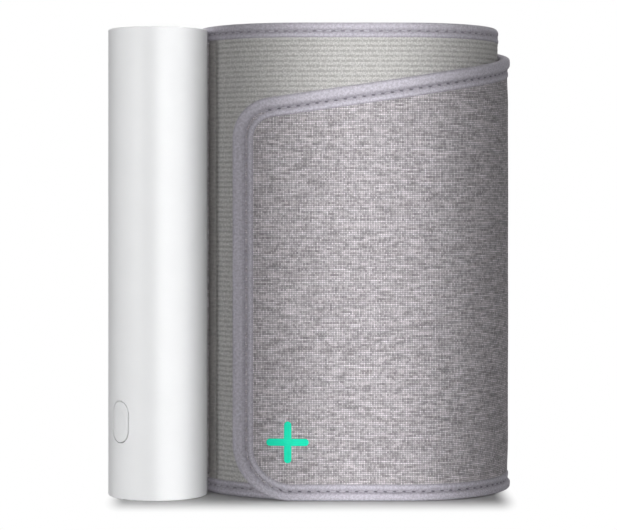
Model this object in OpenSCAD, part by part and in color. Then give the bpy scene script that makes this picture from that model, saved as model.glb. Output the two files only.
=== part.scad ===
// Upper-arm blood pressure monitor: a white tube with the electronics, and a rolled cuff beside it.
// Millimetres. The origin is on the tube's axis, on the plane that it stands on. +Z is up the tube,
// -Y is the front, and the cuff lies on the +X side.

/* [Tube] */
// Outside diameter of the tube
tube_d = 32; // [31:0.5:36]
// Height of the tube
tube_h = 150; // [140:1:160]
// Wall thickness of the tube
tube_wall = 1.6; // [1.2:0.1:1.8]
// Chamfer on the outer edge of both ends
tube_chamfer = 0.4; // [0.2:0.1:0.8]
// Thickness of the end caps
cap_t = 2.2; // [1.6:0.1:3]
// Height of the skirt inside each cap
skirt_h = 4; // [2:0.5:4.5]
// Clearance of the pieces that slide into the tube
fit_gap = 0.1; // [0.05:0.05:0.2]

/* [Button] */
// Width of the pill-shaped button
button_w = 7; // [6:0.5:8]
// Height of the button
button_h = 13; // [11:0.5:14]
// Height of the button's centre above the base
button_z = 24.5; // [23:0.5:26]
// Angle of the button from the front, towards the left
button_turn = 45; // [30:5:60]
// Gap round the button
button_gap = 0.25; // [0.15:0.05:0.4]
// How far the button can be pressed
button_travel = 0.5; // [0.3:0.1:0.6]
// Depth of the dish in the button's face
dish_depth = 0.3; // [0.1:0.05:0.4]

/* [Cuff] */
// How far the cuff stands above the tube
cuff_rise = 1.5; // [-1:0.5:3]
// Thickness of the padded strip without its binding
strip_t = 2; // [1.9:0.1:2.2]
// Thickness of the outer fabric and of the loop panel
shell_t = 0.6; // [0.4:0.1:0.7]
// Thickness of the lining
lining_t = 0.54; // [0.4:0.02:0.6]
// Gap between the layers of the strip
layer_gap = 0.04; // [0.02:0.01:0.06]
// Thickness of the binding tape
tape_t = 0.3; // [0.2:0.05:0.35]
// Width of the binding tape on each face of the cuff
tape_w = 5; // [4:0.5:7]
// Distance from one layer of the roll to the next
layer_pitch = 3.2; // [3:0.1:4]
// Radius of the roll's outer layer, at the middle of the strip
turn_r = 33.7; // [32:0.5:38]
// Centre of the right-hand turn, to the right of the tube's axis
turn_x = 80; // [76:1:90]
// Centre of the right-hand turn, behind the tube's axis
turn_y = 19; // [16:0.5:22]
// Where the roll's inner end lies
inner_end_x = 62; // [58:1:70]
// Gap between the tube and the cuff
tube_gap = 0.1; // [0.05:0.05:0.3]
// Angle between the tube's contact line and the outer fabric's end
fabric_over = 5; // [3:0.5:7]
// Angle covered by the smooth strip beside the tube
side_tape_span = 8.3; // [6:0.1:10]

/* [Flap] */
// Left edge of the flap
flap_tip_x = 24.8; // [22:0.2:30]
// Where the flap starts to bend towards the roll
flap_bend_x = 44.8; // [42:0.2:50]
// Radius of that bend
flap_bend_r = 50; // [45:1:80]
// Drop of the flap's sloping top edge below the cuff's, at its tip
flap_tip_drop = 25.5; // [20:0.5:34]
// Drop of the same edge at the fold line
flap_root_drop = 17.5; // [8:0.5:25]
// Radius of the flap's upper corner
flap_top_r = 13; // [8:0.5:20]
// Radius of the flap's lower corner
flap_low_r = 18; // [8:0.5:24]
// Width of the binding tape on the flap
flap_tape_w = 5.8; // [4:0.2:7]
// Gap at the fold line between the flap and the roll
fold_gap = 0.3; // [0.2:0.05:0.5]
// Thickness of the hook patch on the flap's inside
hook_t = 0.8; // [0.5:0.05:0.85]
// Distance of the hook patch from the flap's top and bottom edges
hook_margin = 12; // [8:1:20]

/* [Plus sign] */
// Span of the plus sign
plus_span = 13.2; // [10:0.2:16]
// Thickness of its arms
plus_arm = 2.5; // [1.5:0.1:3.5]
// Centre of the plus sign from the tube's axis
plus_x = 42.2; // [40:0.2:50]
// Height of its centre
plus_z = 18.6; // [16:0.2:30]
// How far it stands proud
plus_t = 0.4; // [0.2:0.05:0.6]

/* [Carrier] */
// Thickness of the carrier's shelves
shelf_t = 1.6; // [1.2:0.1:2]
// Underside of the lower shelf
shelf_low_z = 31.4; // [31:0.1:33]
// Free room between the air manifold and the top shelf
air_room = 8.1; // [6:0.1:9]
// Thickness of the curved spine
spine_t = 1.3; // [1:0.1:1.5]
// Distance of the spine's edges behind the tube's axis
spine_y = 9; // [8.6:0.1:10]
// Running clearance between the inner pieces
inner_gap = 0.2; // [0.1:0.05:0.25]

/* [Boards and battery] */
// Battery diameter
battery_d = 14.2; // [13:0.1:14.4]
// Free room above the battery
battery_room = 3.2; // [1:0.1:9]
// Thickness of the pad under the battery
pad_t = 1.8; // [1:0.1:2]
// Width of the main board
board_w = 21; // [18:0.5:22]
// Thickness of the main board
board_t = 1.2; // [0.8:0.1:1.4]
// Width of the display board
display_w = 15; // [14:0.5:16]
// Height of the display board
display_h = 30; // [30:1:33]
// Free room between the display and the pressure sensor
display_room = 2.9; // [1:0.1:4]
// Rows of lamps
lamp_rows = 11; // [5:1:11]
// Columns of lamps
lamp_columns = 5; // [3:2:5]
// Distance between lamps
lamp_pitch = 2.3; // [2:0.1:2.3]
// Width of the light guide's cells
cell_w = 1.7; // [1.3:0.1:1.8]
// Width of the charging socket
socket_w = 7.5; // [7:0.1:8]
// Thickness of the charging socket
socket_t = 2.8; // [2.6:0.1:3]

/* [Pump and air] */
// Diameter of the pump motor
pump_d = 18; // [16:0.2:18]
// Height of the motor
motor_h = 22; // [20:0.5:23]
// Height of the pump head
head_h = 16; // [14:0.5:17]
// Radius of the pump's shaft
shaft_r = 1; // [0.8:0.1:1.4]
// Radial clearance of the shaft in its bearings
shaft_gap = 0.05; // [0.02:0.01:0.08]
// How far the eccentric sits off the shaft's axis
eccentric_throw = 1.4; // [0.6:0.1:1.6]
// Diameter of the release valve
valve_d = 6.4; // [5:0.2:6.4]
// Travel of the valve's plunger
valve_travel = 0.8; // [0.4:0.1:1]
// Outer radius of the sensor's hose
hose_r = 1.4; // [1.2:0.1:1.5]
// Radius of the air port that enters the cuff
port_r = 1.6; // [1.3:0.1:1.8]
// Radius of the shank of the cuff's screws
screw_r = 0.95; // [0.8:0.05:1.2]
// Number of screws that hold the cuff
screw_count = 4; // [2:1:5]

/* [Hidden] */
$fn = 64;

far = 400;

// Tube
tube_r = tube_d / 2;
bore_r = tube_r - tube_wall;
insert_r = bore_r - fit_gap;
skirt_wall = 1.2;

// Strip, measured from its middle: positive is outwards
half_t = strip_t / 2;
tape_half = half_t + tape_t;
shell_in = half_t - shell_t;
lining_out = lining_t - half_t;
mid_zone = shell_in - lining_out - 3 * layer_gap;
plate_t = mid_zone / 2;
plate_out = shell_in - layer_gap;
plate_in = plate_out - plate_t;
bladder_out = plate_in - layer_gap;
bladder_in = bladder_out - plate_t;
cuff_h = tube_h + cuff_rise;
fabric_low = tape_t;
fabric_top = cuff_h - tape_t;

// Roll: the left turn lies between the two layers and rests against the tube
inner_r = turn_r - layer_pitch;
left_r = turn_r - layer_pitch / 2;
left_y = turn_y + layer_pitch / 2;
contact_r = left_r + tape_half + tube_gap + tube_r;
left_x = sqrt(contact_r * contact_r - left_y * left_y);
contact_angle = atan2(left_y, left_x);
contact_distance = tube_r + tube_gap + tape_half;
fabric_end = 180 + contact_angle + fabric_over;
loop_start = fabric_end + side_tape_span;
flap_y = turn_y - turn_r;
front_y = turn_y - inner_r;
back_y = turn_y + turn_r;
inner_back_y = turn_y + inner_r;

// Sloping edge over the right-hand turn
ramp_steps = 24;
ramp_step = 180 / ramp_steps;
flap_root_top = cuff_h - flap_root_drop;

// Flap
flap_tip_top = cuff_h - flap_tip_drop;
flap_end_x = turn_x - fold_gap / 2;
flap_slope = atan2(flap_root_top - flap_tip_top, turn_x - flap_tip_x);
flap_bend = asin((flap_bend_x - flap_tip_x) / flap_bend_r);

// Button and switch, measured outwards along the button's axis
flange_lip = 1;
flange_r = bore_r - 0.15;
flange_back = bore_r - 1.5;
post_end = flange_back - 1.4;
stem_end = post_end - button_travel - 0.1;
switch_size = 5;
switch_body = 1.8;
switch_stem = 0.7;
switch_face = stem_end - switch_stem - switch_body;
switch_board_t = 0.8;
switch_board_w = 9;
bracket_t = 1.4;

// Carrier and what it holds
carrier_r = bore_r - inner_gap;
spine_in = carrier_r - spine_t;
base_z = cap_t + skirt_h + inner_gap;
top_shelf_z = tube_h - cap_t - skirt_h - shelf_t - inner_gap;
manifold_h = 5;
shelf_mid_z = top_shelf_z - air_room - manifold_h - head_h - motor_h - 1.5 * inner_gap - shelf_t;
low_top = shelf_low_z + shelf_t;
mid_top = shelf_mid_z + shelf_t;
battery_y = spine_in - battery_d / 2 - inner_gap;
battery_z = low_top + pad_t;
battery_tip = 1;
battery_h = shelf_mid_z - battery_room - battery_tip - battery_z;
board_back = battery_y - battery_d / 2 - 1.8;
board_front = board_back - board_t;
board_low = low_top + inner_gap;
board_top = shelf_mid_z - inner_gap;
sensor_h = 6.5;
sensor_z = board_top - sensor_h - 2.4;

// Display, counted inwards from the tube's wall
display_z = sensor_z - display_room - display_h / 2;
guide_back = -(bore_r - 2.95);
lamp_face = guide_back + 0.05;
display_t = 1;
display_back = lamp_face + display_t;
guide_w = display_w - 1.8;
guide_h = display_h - 4;
window_wall = 0.8;

// Charging socket
socket_y = -(bore_r - 4.8);
socket_back = socket_y + socket_t;
socket_h = 5.6;
charging_board_w = 14;
charging_board_t = 1;
charging_board_h = 12.5;

// Pump and air parts
pump_y = spine_in - pump_d / 2 - inner_gap;
motor_z = mid_top + inner_gap / 2;
head_z = motor_z + motor_h;
head_top = head_z + head_h;
head_cavity_r = pump_d / 2 - 1.6;
head_roof = 3.2;
shaft_low = motor_z + 9;
nipple_r = 1.5;
nipple_y = pump_y - 4;
manifold_z = head_top + inner_gap;
port_z = manifold_z + manifold_h / 2;
hose_x = -6;
hose_y = -(bore_r - 7);
hose_wall = 0.45;
sensor_w = 6;
barb_h = 2.6;
valve_y = -(bore_r - valve_d / 2 - 0.6);
valve_h = 13;
valve_z = manifold_z - valve_h;
plunger_r = valve_d / 2 - 2;
plunger_in = 5;
plunger_out = 1.5;
plunger_room = plunger_in + valve_travel + 0.4;

// Screws that hold the cuff, spread along the clamp plate
plate_low = 8;
plate_top = port_z - 9.4;
plate_half_w = 4;
screw_low = 16;
screw_step = (plate_top - 10 - screw_low) / max(1, screw_count - 1);
screw_head_r = 1.9;
screw_head_t = 1.2;
screw_seat = sqrt(bore_r * bore_r - screw_head_r * screw_head_r) - 0.02;

// ---- shared shapes ----

module ring_2d(inner, outer) {
    difference() {
        circle(outer);
        circle(inner);
    }
}

// Fan-shaped area from one angle to another, less than a full turn
module fan_2d(from, to) {
    steps = ceil((to - from) / 60);
    polygon(concat([[0, 0]], [for (i = [0:steps])
        let (a = from + (to - from) * i / steps) [far * cos(a), far * sin(a)]]));
}

module arc_band_2d(centre, radius, in, out, from, to) {
    translate(centre) intersection() {
        ring_2d(radius + in, radius + out);
        fan_2d(from, to);
    }
}

// Outer layer of the roll: right turn, back and left turn, up to an angle of the left turn
module outer_track_2d(in, out, last) {
    difference() {
        arc_band_2d([turn_x, turn_y], turn_r, in, out, -90, 90);
        translate([turn_x - 1, flap_y - strip_t]) square([1 + fold_gap / 2, 2 * strip_t]);
    }
    back_track_2d(in, out, last);
}

// The same layer without its right turn
module back_track_2d(in, out, last) {
    translate([left_x, back_y + in]) square([turn_x - left_x, out - in]);
    arc_band_2d([left_x, left_y], left_r, in, out, 90, last);
}

// Inner layer of the roll: left turn from an angle on, front, right turn and the end at the back
module inner_track_2d(in, out, first, end_x) {
    arc_band_2d([left_x, left_y], left_r, in, out, first, 270);
    translate([left_x, front_y - out]) square([turn_x - left_x, out - in]);
    arc_band_2d([turn_x, turn_y], inner_r, in, out, -90, 90);
    translate([end_x, inner_back_y + in]) square([turn_x - end_x, out - in]);
}

module whole_track_2d(in, out, end_x) {
    outer_track_2d(in, out, 225);
    inner_track_2d(in, out, 225, end_x);
}

module slab(low, high) {
    translate([0, 0, low]) linear_extrude(high - low) children();
}

// Block under or over the sloping edge: its lower and upper faces lie this far below the edge
module ramp_block(low_drop, high_drop) {
    stations = [for (i = [-1:ramp_steps + 1]) let (
        a = -90 + i * ramp_step,
        z = flap_root_top + flap_root_drop * i / ramp_steps,
        c = cos(a),
        s = sin(a),
        r0 = turn_r - strip_t,
        r1 = turn_r + strip_t
    ) each [
        [turn_x + r0 * c, turn_y + r0 * s, z - low_drop],
        [turn_x + r1 * c, turn_y + r1 * s, z - low_drop],
        [turn_x + r1 * c, turn_y + r1 * s, z - high_drop],
        [turn_x + r0 * c, turn_y + r0 * s, z - high_drop]
    ]];
    last = len(stations) - 4;
    sides = [for (i = [0:4:last - 4], k = [0:3]) let (n = (k + 1) % 4)
        [i + k, i + n, i + 4 + n, i + 4 + k]];
    polyhedron(stations, concat([[3, 2, 1, 0]], sides, [[for (k = [0:3]) last + k]]));
}

// Height limit of the outer layer: everything above the sloping edge is taken off
module under_ramp(drop) {
    difference() {
        children();
        ramp_block(drop, -far / 10);
    }
}

// Flap seen from above: straight, then bent towards the roll at its tip
module flap_plan_2d(in, out, from_x) {
    translate([from_x, flap_y - out]) square([flap_end_x - from_x, out - in]);
    if (from_x <= flap_bend_x)
        arc_band_2d([flap_bend_x, flap_y + flap_bend_r], flap_bend_r, in, out,
            265 - flap_bend, 270);
}

// Flap seen from the front, with its edge moved in by an inset
module flap_outline_2d(inset) {
    top_r = flap_top_r - inset;
    low_r = flap_low_r - inset;
    lean = [-sin(flap_slope), cos(flap_slope)];
    top_c = [flap_tip_x + flap_top_r,
        flap_tip_top + flap_top_r * tan(flap_slope) - flap_top_r / cos(flap_slope)];
    low_c = [flap_tip_x + flap_low_r, flap_low_r];
    translate(top_c) circle(top_r);
    translate(low_c) circle(low_r);
    polygon([
        [low_c.x, inset],
        [turn_x, inset],
        [turn_x, flap_root_top - inset / cos(flap_slope)],
        top_c + top_r * lean,
        [flap_tip_x + inset, top_c.y],
        [flap_tip_x + inset, low_c.y]
    ]);
}

// A prism through the flap, from an outline seen from the front
module front_prism() {
    translate([0, flap_y + far / 10, 0]) rotate([90, 0, 0]) linear_extrude(far / 5) children();
}

module flap_layer(in, out, inset) {
    intersection() {
        linear_extrude(cuff_h) flap_plan_2d(in, out, flap_bend_x);
        front_prism() flap_outline_2d(inset);
    }
}

// Places children on the button's axis, with +X pointing out of the tube
module at_button() {
    translate([0, 0, button_z]) rotate([0, 0, -90 - button_turn]) children();
}

// Places children on the line where the cuff touches the tube, with +X pointing into the cuff
module at_contact(z) {
    translate([0, 0, z]) rotate([0, 0, contact_angle]) children();
}

module rod_x(radius, from, to) {
    translate([from, 0, 0]) rotate([0, 90, 0]) cylinder(r = radius, h = to - from);
}

// Upright pill shape along X
module pill(width, height, from, to) {
    rise = (height - width) / 2;
    for (side = [-1, 1]) translate([0, 0, side * rise]) rod_x(width / 2, from, to);
    translate([from, -width / 2, -rise]) cube([to - from, width, 2 * rise]);
}

module upright(x, y, radius, low, high) {
    translate([x, y, low]) cylinder(r = radius, h = high - low);
}

module block(low, high) {
    translate(low) cube(high - low);
}

module each_screw() {
    for (i = [0:screw_count - 1]) at_contact(screw_low + i * screw_step) children();
}

// ---- tube ----

module tube_shell() {
    color("white") difference() {
        rotate_extrude() polygon([
            [bore_r, 0],
            [tube_r - tube_chamfer, 0],
            [tube_r, tube_chamfer],
            [tube_r, tube_h - tube_chamfer],
            [tube_r - tube_chamfer, tube_h],
            [bore_r, tube_h]
        ]);
        at_button() pill(button_w + 2 * button_gap, button_h + 2 * button_gap, bore_r - 3, tube_r + 1);
        // Thinned window for the lamps, cut from inside
        intersection() {
            upright(0, 0, tube_r - window_wall, display_z - guide_h / 2, display_z + guide_h / 2);
            block([-guide_w / 2, -tube_r, 0], [guide_w / 2, 0, tube_h]);
        }
        each_screw() rod_x(screw_r + fit_gap, bore_r - 2, tube_r + 1);
        at_contact(port_z) rod_x(port_r + fit_gap, bore_r - 2, tube_r + 1);
    }
}

module end_plug(low, high, skirt_low, skirt_high) {
    upright(0, 0, insert_r, low, high);
    difference() {
        upright(0, 0, insert_r, skirt_low, skirt_high);
        upright(0, 0, insert_r - skirt_wall, skirt_low - 1, skirt_high + 1);
    }
}

module top_cap() {
    low = tube_h - cap_t;
    color("white") end_plug(low, tube_h, low - skirt_h, low + cap_t / 2);
}

module bottom_cap() {
    color("white") difference() {
        end_plug(0, cap_t, cap_t / 2, cap_t + skirt_h);
        block([-socket_w / 2 - inner_gap, socket_y - inner_gap, -1],
            [socket_w / 2 + inner_gap, socket_back + inner_gap, cap_t + 1]);
    }
}

module button() {
    dish_r = 30;
    color("whitesmoke") at_button() difference() {
        union() {
            intersection() {
                pill(button_w, button_h, flange_back, tube_r + 1);
                upright(0, 0, tube_r, -button_h, button_h);
            }
            intersection() {
                pill(button_w + 2 * flange_lip, button_h + 2 * flange_lip, flange_back, bore_r);
                upright(0, 0, flange_r, -button_h, button_h);
            }
            rod_x(1.4, post_end, flange_back + 0.5);
        }
        translate([tube_r + dish_r - dish_depth, 0, 0]) sphere(dish_r);
    }
}

// ---- carrier and electronics ----

module shelf(low) {
    upright(0, 0, carrier_r, low, low + shelf_t);
}

module chassis() {
    color("gainsboro") difference() {
        union() {
            // Curved spine at the back
            intersection() {
                difference() {
                    upright(0, 0, carrier_r, base_z, top_shelf_z + shelf_t);
                    upright(0, 0, spine_in, base_z - 1, tube_h);
                }
                block([-tube_r, spine_y, 0], [tube_r, tube_r, tube_h]);
            }
            for (z = [base_z, shelf_low_z, shelf_mid_z, top_shelf_z]) shelf(z);
            // Bracket that hangs from the lower shelf and backs the switch board
            at_button() block(
                [switch_face - switch_board_t - bracket_t, -switch_board_w / 2, -button_h / 2 - 1],
                [switch_face - switch_board_t, switch_board_w / 2, low_top - button_z]);
        }
        // Slot for the charging board
        block([-charging_board_w / 2 - inner_gap, socket_y - 1, base_z - 1],
            [charging_board_w / 2 + inner_gap, socket_back + charging_board_t + inner_gap,
                base_z + shelf_t + 1]);
        // Room for the button's flange over its travel
        at_button() pill(button_w + 2 * (flange_lip + inner_gap), button_h + 2 * (flange_lip + inner_gap),
            flange_back - button_travel - inner_gap, tube_r);
        // Ways for the sensor's hose and for the wires
        upright(hose_x, hose_y, hose_r + inner_gap, shelf_mid_z - 1, mid_top + 1);
        for (z = [shelf_low_z, shelf_mid_z])
            block([4.5, -tube_r, z - 1], [8, board_front - 1, z + shelf_t + 1]);
    }
}

module switch_board() {
    color("seagreen") at_button() block(
        [switch_face - switch_board_t, -switch_board_w / 2, -button_h / 2 - 0.5],
        [switch_face, switch_board_w / 2, shelf_low_z - inner_gap - button_z]);
}

module tact_switch() {
    color("dimgray") at_button() {
        block([switch_face, -switch_size / 2, -switch_size / 2],
            [switch_face + switch_body, switch_size / 2, switch_size / 2]);
        rod_x(1.1, switch_face + switch_body - 0.2, stem_end);
    }
}

module main_board() {
    color("seagreen")
        block([-board_w / 2, board_front, board_low], [board_w / 2, board_back, board_top]);
}

// One block on the front of the main board: centre across, centre as a part of the board's height,
// width, height and thickness
module chip(x, part, width, height, thick) {
    z = board_low + part * (board_top - board_low);
    block([x - width / 2, board_front - thick, z - height / 2],
        [x + width / 2, board_front, z + height / 2]);
}

module board_chips() {
    color("dimgray") {
        chip(0, 0.12, 7, 7, 1);
        chip(0, 0.43, 6, 9, 1.6);
        chip(0, 0.65, 5, 5, 0.9);
        chip(8, 0.16, 3, 6, 2.2);
        for (i = [0:4]) chip(-8.4, 0.09 + 0.05 * i, 1.6, 0.9, 0.6);
        for (i = [0:3]) chip(8.4, 0.34 + 0.045 * i, 1.2, 0.8, 0.5);
    }
}

module display_board() {
    color("seagreen") block([-display_w / 2, lamp_face, display_z - display_h / 2],
        [display_w / 2, display_back, display_z + display_h / 2]);
}

module each_lamp() {
    for (i = [0:lamp_columns - 1], j = [0:lamp_rows - 1])
        translate([(i - (lamp_columns - 1) / 2) * lamp_pitch, 0,
            display_z + (j - (lamp_rows - 1) / 2) * lamp_pitch]) children();
}

module lamp_matrix() {
    lamp = 1;
    color("ivory") each_lamp()
        block([-lamp / 2, lamp_face - 0.6, -lamp / 2], [lamp / 2, lamp_face, lamp / 2]);
}

module light_guide() {
    color("white") difference() {
        intersection() {
            upright(0, 0, carrier_r, display_z - guide_h / 2, display_z + guide_h / 2);
            block([-guide_w / 2, -tube_r, 0], [guide_w / 2, guide_back, tube_h]);
        }
        each_lamp() block([-cell_w / 2, -tube_r, -cell_w / 2], [cell_w / 2, guide_back + 1, cell_w / 2]);
    }
}

module display_standoffs() {
    inset = 1.6;
    color("silver") for (x = [-1, 1], z = [-1, 1])
        translate([x * (display_w / 2 - inset), board_front, display_z + z * (display_h / 2 - inset)])
            rotate([90, 0, 0]) cylinder(r = 1.1, h = board_front - display_back);
}

module charging_socket() {
    wall = 0.3;
    low = 0.4;
    color("silver") difference() {
        block([-socket_w / 2, socket_y, low], [socket_w / 2, socket_back, low + socket_h]);
        block([-socket_w / 2 + wall, socket_y + wall, -1],
            [socket_w / 2 - wall, socket_back - wall, low + socket_h - 1]);
    }
    color("black") block([-socket_w / 2 + 1.6, (socket_y + socket_back) / 2 - 0.3, 1],
        [socket_w / 2 - 1.6, (socket_y + socket_back) / 2 + 0.3, low + socket_h - 0.5]);
}

module charging_board() {
    low = cap_t + 0.6;
    color("seagreen") block([-charging_board_w / 2, socket_back, low],
        [charging_board_w / 2, socket_back + charging_board_t, low + charging_board_h]);
}

module battery() {
    color("steelblue") {
        upright(0, battery_y, battery_d / 2, battery_z, battery_z + battery_h);
        upright(0, battery_y, battery_d / 5, battery_z + battery_h - 1,
            battery_z + battery_h + battery_tip);
    }
}

module battery_pad() {
    color("darkslategray") upright(0, battery_y, battery_d / 2 - 0.8, low_top, battery_z);
}

// ---- pump and air parts ----

module pump_motor() {
    color("silver") difference() {
        union() {
            upright(0, pump_y, pump_d / 2, motor_z, head_z - 1.2);
            upright(0, pump_y, pump_d / 2 - 1.2, head_z - 2, head_z);
        }
        upright(0, pump_y, shaft_r + shaft_gap, shaft_low - 0.3, head_z + 1);
    }
}

module pump_head() {
    color("darkgray") difference() {
        union() {
            upright(0, pump_y, pump_d / 2, head_z, head_top);
            upright(0, nipple_y, nipple_r, head_top - 1, manifold_z + 2.6);
        }
        upright(0, pump_y, head_cavity_r, head_z - 1, head_top - head_roof);
        upright(0, pump_y, shaft_r + shaft_gap, head_z, head_top - 1.4);
        upright(0, nipple_y, nipple_r / 2, head_top - head_roof - 1, manifold_z + 4);
    }
}

module pump_rotor() {
    cam_r = head_cavity_r - eccentric_throw - 1.8;
    color("gold") {
        upright(0, pump_y, shaft_r, shaft_low, head_top - 1.7);
        upright(0, pump_y + eccentric_throw, cam_r, head_z + 3, head_z + 8);
    }
}

module release_valve() {
    color("darkgray") difference() {
        union() {
            upright(0, valve_y, valve_d / 2, valve_z, manifold_z);
            upright(0, valve_y, valve_d / 2 + 0.3, valve_z + 3, valve_z + 4.5);
        }
        upright(0, valve_y, plunger_r + shaft_gap, valve_z - 1, valve_z + plunger_room);
    }
}

module valve_plunger() {
    color("silver") upright(0, valve_y, plunger_r, valve_z - plunger_out, valve_z + plunger_in);
}

module pressure_sensor() {
    color("black") difference() {
        union() {
            block([hose_x - sensor_w / 2, hose_y - 1.2, sensor_z],
                [hose_x + sensor_w / 2, board_front, sensor_z + sensor_h]);
            upright(hose_x, hose_y, hose_r - hose_wall - 0.05, sensor_z + sensor_h - 0.5,
                sensor_z + sensor_h + barb_h);
        }
        upright(hose_x, hose_y, 0.35, sensor_z + 1, sensor_z + sensor_h + barb_h + 1);
    }
}

module air_manifold() {
    arm = 10.5;
    top = manifold_z + manifold_h;
    color("lightgray") difference() {
        union() {
            upright(0, nipple_y, 3.4, manifold_z, top);
            upright(0, valve_y, valve_d / 2, manifold_z, top);
            upright(hose_x, hose_y, 2.6, manifold_z, top);
            block([-2, valve_y, manifold_z], [2, nipple_y, top]);
            block([hose_x, hose_y - 2, manifold_z], [0, hose_y + 2, top]);
            at_contact(port_z) rod_x(manifold_h / 2 - 0.3, 0, arm);
            upright(hose_x, hose_y, hose_r - hose_wall - 0.05, manifold_z - barb_h, manifold_z + 1);
        }
        upright(0, nipple_y, nipple_r + fit_gap, manifold_z - 1, manifold_z + 3);
        at_contact(port_z) rod_x(port_r + shaft_gap, arm - 4, arm + 1);
        upright(hose_x, hose_y, 0.35, manifold_z - barb_h - 1, manifold_z + 3);
    }
}

module sensor_hose() {
    low = sensor_z + sensor_h + 0.1;
    high = manifold_z - 0.1;
    color("white") difference() {
        upright(hose_x, hose_y, hose_r, low, high);
        upright(hose_x, hose_y, hose_r - hose_wall, low - 1, high + 1);
    }
}

// Arc of the strip's middle zone at the tube's contact line
module contact_arc(low, high) {
    slab(low, high) arc_band_2d([left_x, left_y], left_r, plate_in, plate_out, 150, 240);
}

// Block as wide as the clamp plate, from the tube into the cuff
module contact_block() {
    block([tube_r, -plate_half_w, 0], [contact_distance + half_t, plate_half_w, tube_h]);
}

module cuff_port() {
    collar_r = 3;
    collar_t = 1;
    flange = 4.5;
    seat = sqrt(bore_r * bore_r - collar_r * collar_r) - 0.02;
    color("white") difference() {
        union() {
            at_contact(port_z) {
                rod_x(port_r, 6.8, contact_distance - (plate_in + plate_out) / 2);
                rod_x(collar_r, seat - collar_t, seat);
            }
            intersection() {
                contact_arc(port_z - flange, port_z + flange);
                at_contact(0) contact_block();
            }
        }
        at_contact(port_z) rod_x(port_r - 0.7, 0, contact_distance + half_t);
    }
}

module clamp_plate() {
    color("silver") difference() {
        intersection() {
            contact_arc(plate_low, plate_top);
            at_contact(0) contact_block();
        }
        each_screw() rod_x(screw_r + shaft_gap, tube_r, contact_distance + half_t);
    }
}

module cuff_screws() {
    color("dimgray") each_screw() difference() {
        union() {
            rod_x(screw_head_r, screw_seat - screw_head_t, screw_seat);
            rod_x(screw_r, screw_seat - 0.5, contact_distance - plate_in - 0.05);
        }
        rod_x(0.7, screw_seat - screw_head_t - 1, screw_seat - screw_head_t + 0.7);
    }
}

// ---- cuff ----

module contact_holes() {
    each_screw() rod_x(screw_r + fit_gap, tube_r, contact_distance - shell_in + layer_gap);
    at_contact(port_z) rod_x(port_r + fit_gap, tube_r, contact_distance - shell_in + layer_gap);
}

module shell_fabric() {
    color("thistle") difference() {
        under_ramp(tape_t) slab(fabric_low, fabric_top) outer_track_2d(shell_in, half_t, fabric_end);
        contact_holes();
    }
}

module side_tape() {
    color("slategray") slab(fabric_low, fabric_top)
        arc_band_2d([left_x, left_y], left_r, shell_in, half_t, fabric_end + 0.1, loop_start);
}

module loop_panel() {
    color("silver") slab(fabric_low, fabric_top)
        inner_track_2d(shell_in, half_t, loop_start + 0.1, inner_end_x);
}

module outer_lining() {
    color("gray") under_ramp(tape_t) slab(fabric_low, fabric_top)
        outer_track_2d(-half_t, lining_out, fabric_end);
}

module inner_lining() {
    color("gray") slab(fabric_low, fabric_top)
        inner_track_2d(-half_t, lining_out, fabric_end + 0.1, inner_end_x);
}

module stiffener() {
    inset = 7;
    color("whitesmoke") slab(inset, cuff_h - inset)
        inner_track_2d(plate_in, plate_out, loop_start + 3, inner_end_x + inset);
}

module air_bladder() {
    inset = 8;
    color("lightsteelblue") slab(inset, cuff_h - inset) {
        arc_band_2d([left_x, left_y], left_r, bladder_in, bladder_out, 190, 270);
        translate([left_x, front_y - bladder_out]) square([turn_x - left_x, plate_t]);
        arc_band_2d([turn_x, turn_y], inner_r, bladder_in, bladder_out, -90, 60);
    }
}

// Tape folded over the upper edge; the lower one is the same with its fold below
module folded_tape(low, high, fold_low, fold_high) {
    difference() {
        slab(low, high) children(0);
        slab(low + fold_low, high - fold_high) children(1);
    }
}

module top_binding() {
    grip = half_t + layer_gap;
    end_x = inner_end_x + tape_w + 0.1;
    fold = tape_t - layer_gap;
    color("rosybrown") folded_tape(cuff_h - tape_w, cuff_h, -1, fold) {
        binding_plan_2d(tape_half, end_x);
        binding_plan_2d(grip, end_x - 1);
    }
}

// The roll without its right outer turn, to a half thickness
module binding_plan_2d(half, end_x) {
    intersection() {
        back_track_2d(-half, half, 225);
        translate([-far, -far]) square([far + turn_x - 0.05, 2 * far]);
    }
    inner_track_2d(-half, half, 225, end_x);
}

module ramp_binding() {
    grip = half_t + layer_gap;
    color("rosybrown") difference() {
        intersection() {
            slab(flap_root_top - 2 * tape_w, cuff_h + 1) turn_band_2d(tape_half);
            ramp_block(tape_w, 0);
        }
        intersection() {
            slab(flap_root_top - 3 * tape_w, cuff_h + 1) turn_band_2d(grip);
            ramp_block(tape_w + 1, tape_t - layer_gap);
        }
    }
}

// Right outer turn of the roll, to a half thickness
module turn_band_2d(half) {
    difference() {
        arc_band_2d([turn_x, turn_y], turn_r, -half, half, -90, 90);
        translate([turn_x - 1, flap_y - 2 * strip_t]) square([1 + fold_gap / 2, 4 * strip_t]);
    }
}

module bottom_binding() {
    grip = half_t + layer_gap;
    end_x = inner_end_x + tape_w + 0.1;
    fold = tape_t - layer_gap;
    color("rosybrown") folded_tape(0, tape_w, fold, -1) {
        whole_track_2d(-tape_half, tape_half, end_x);
        whole_track_2d(-grip, grip, end_x - 1);
    }
}

module end_binding() {
    grip = half_t + layer_gap;
    color("rosybrown") difference() {
        block([inner_end_x - tape_t, inner_back_y - tape_half, 0],
            [inner_end_x + tape_w, inner_back_y + tape_half, cuff_h]);
        block([inner_end_x - layer_gap, inner_back_y - grip, tape_t - layer_gap],
            [inner_end_x + tape_w + 1, inner_back_y + grip, cuff_h - tape_t + layer_gap]);
    }
}

// ---- flap ----

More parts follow.
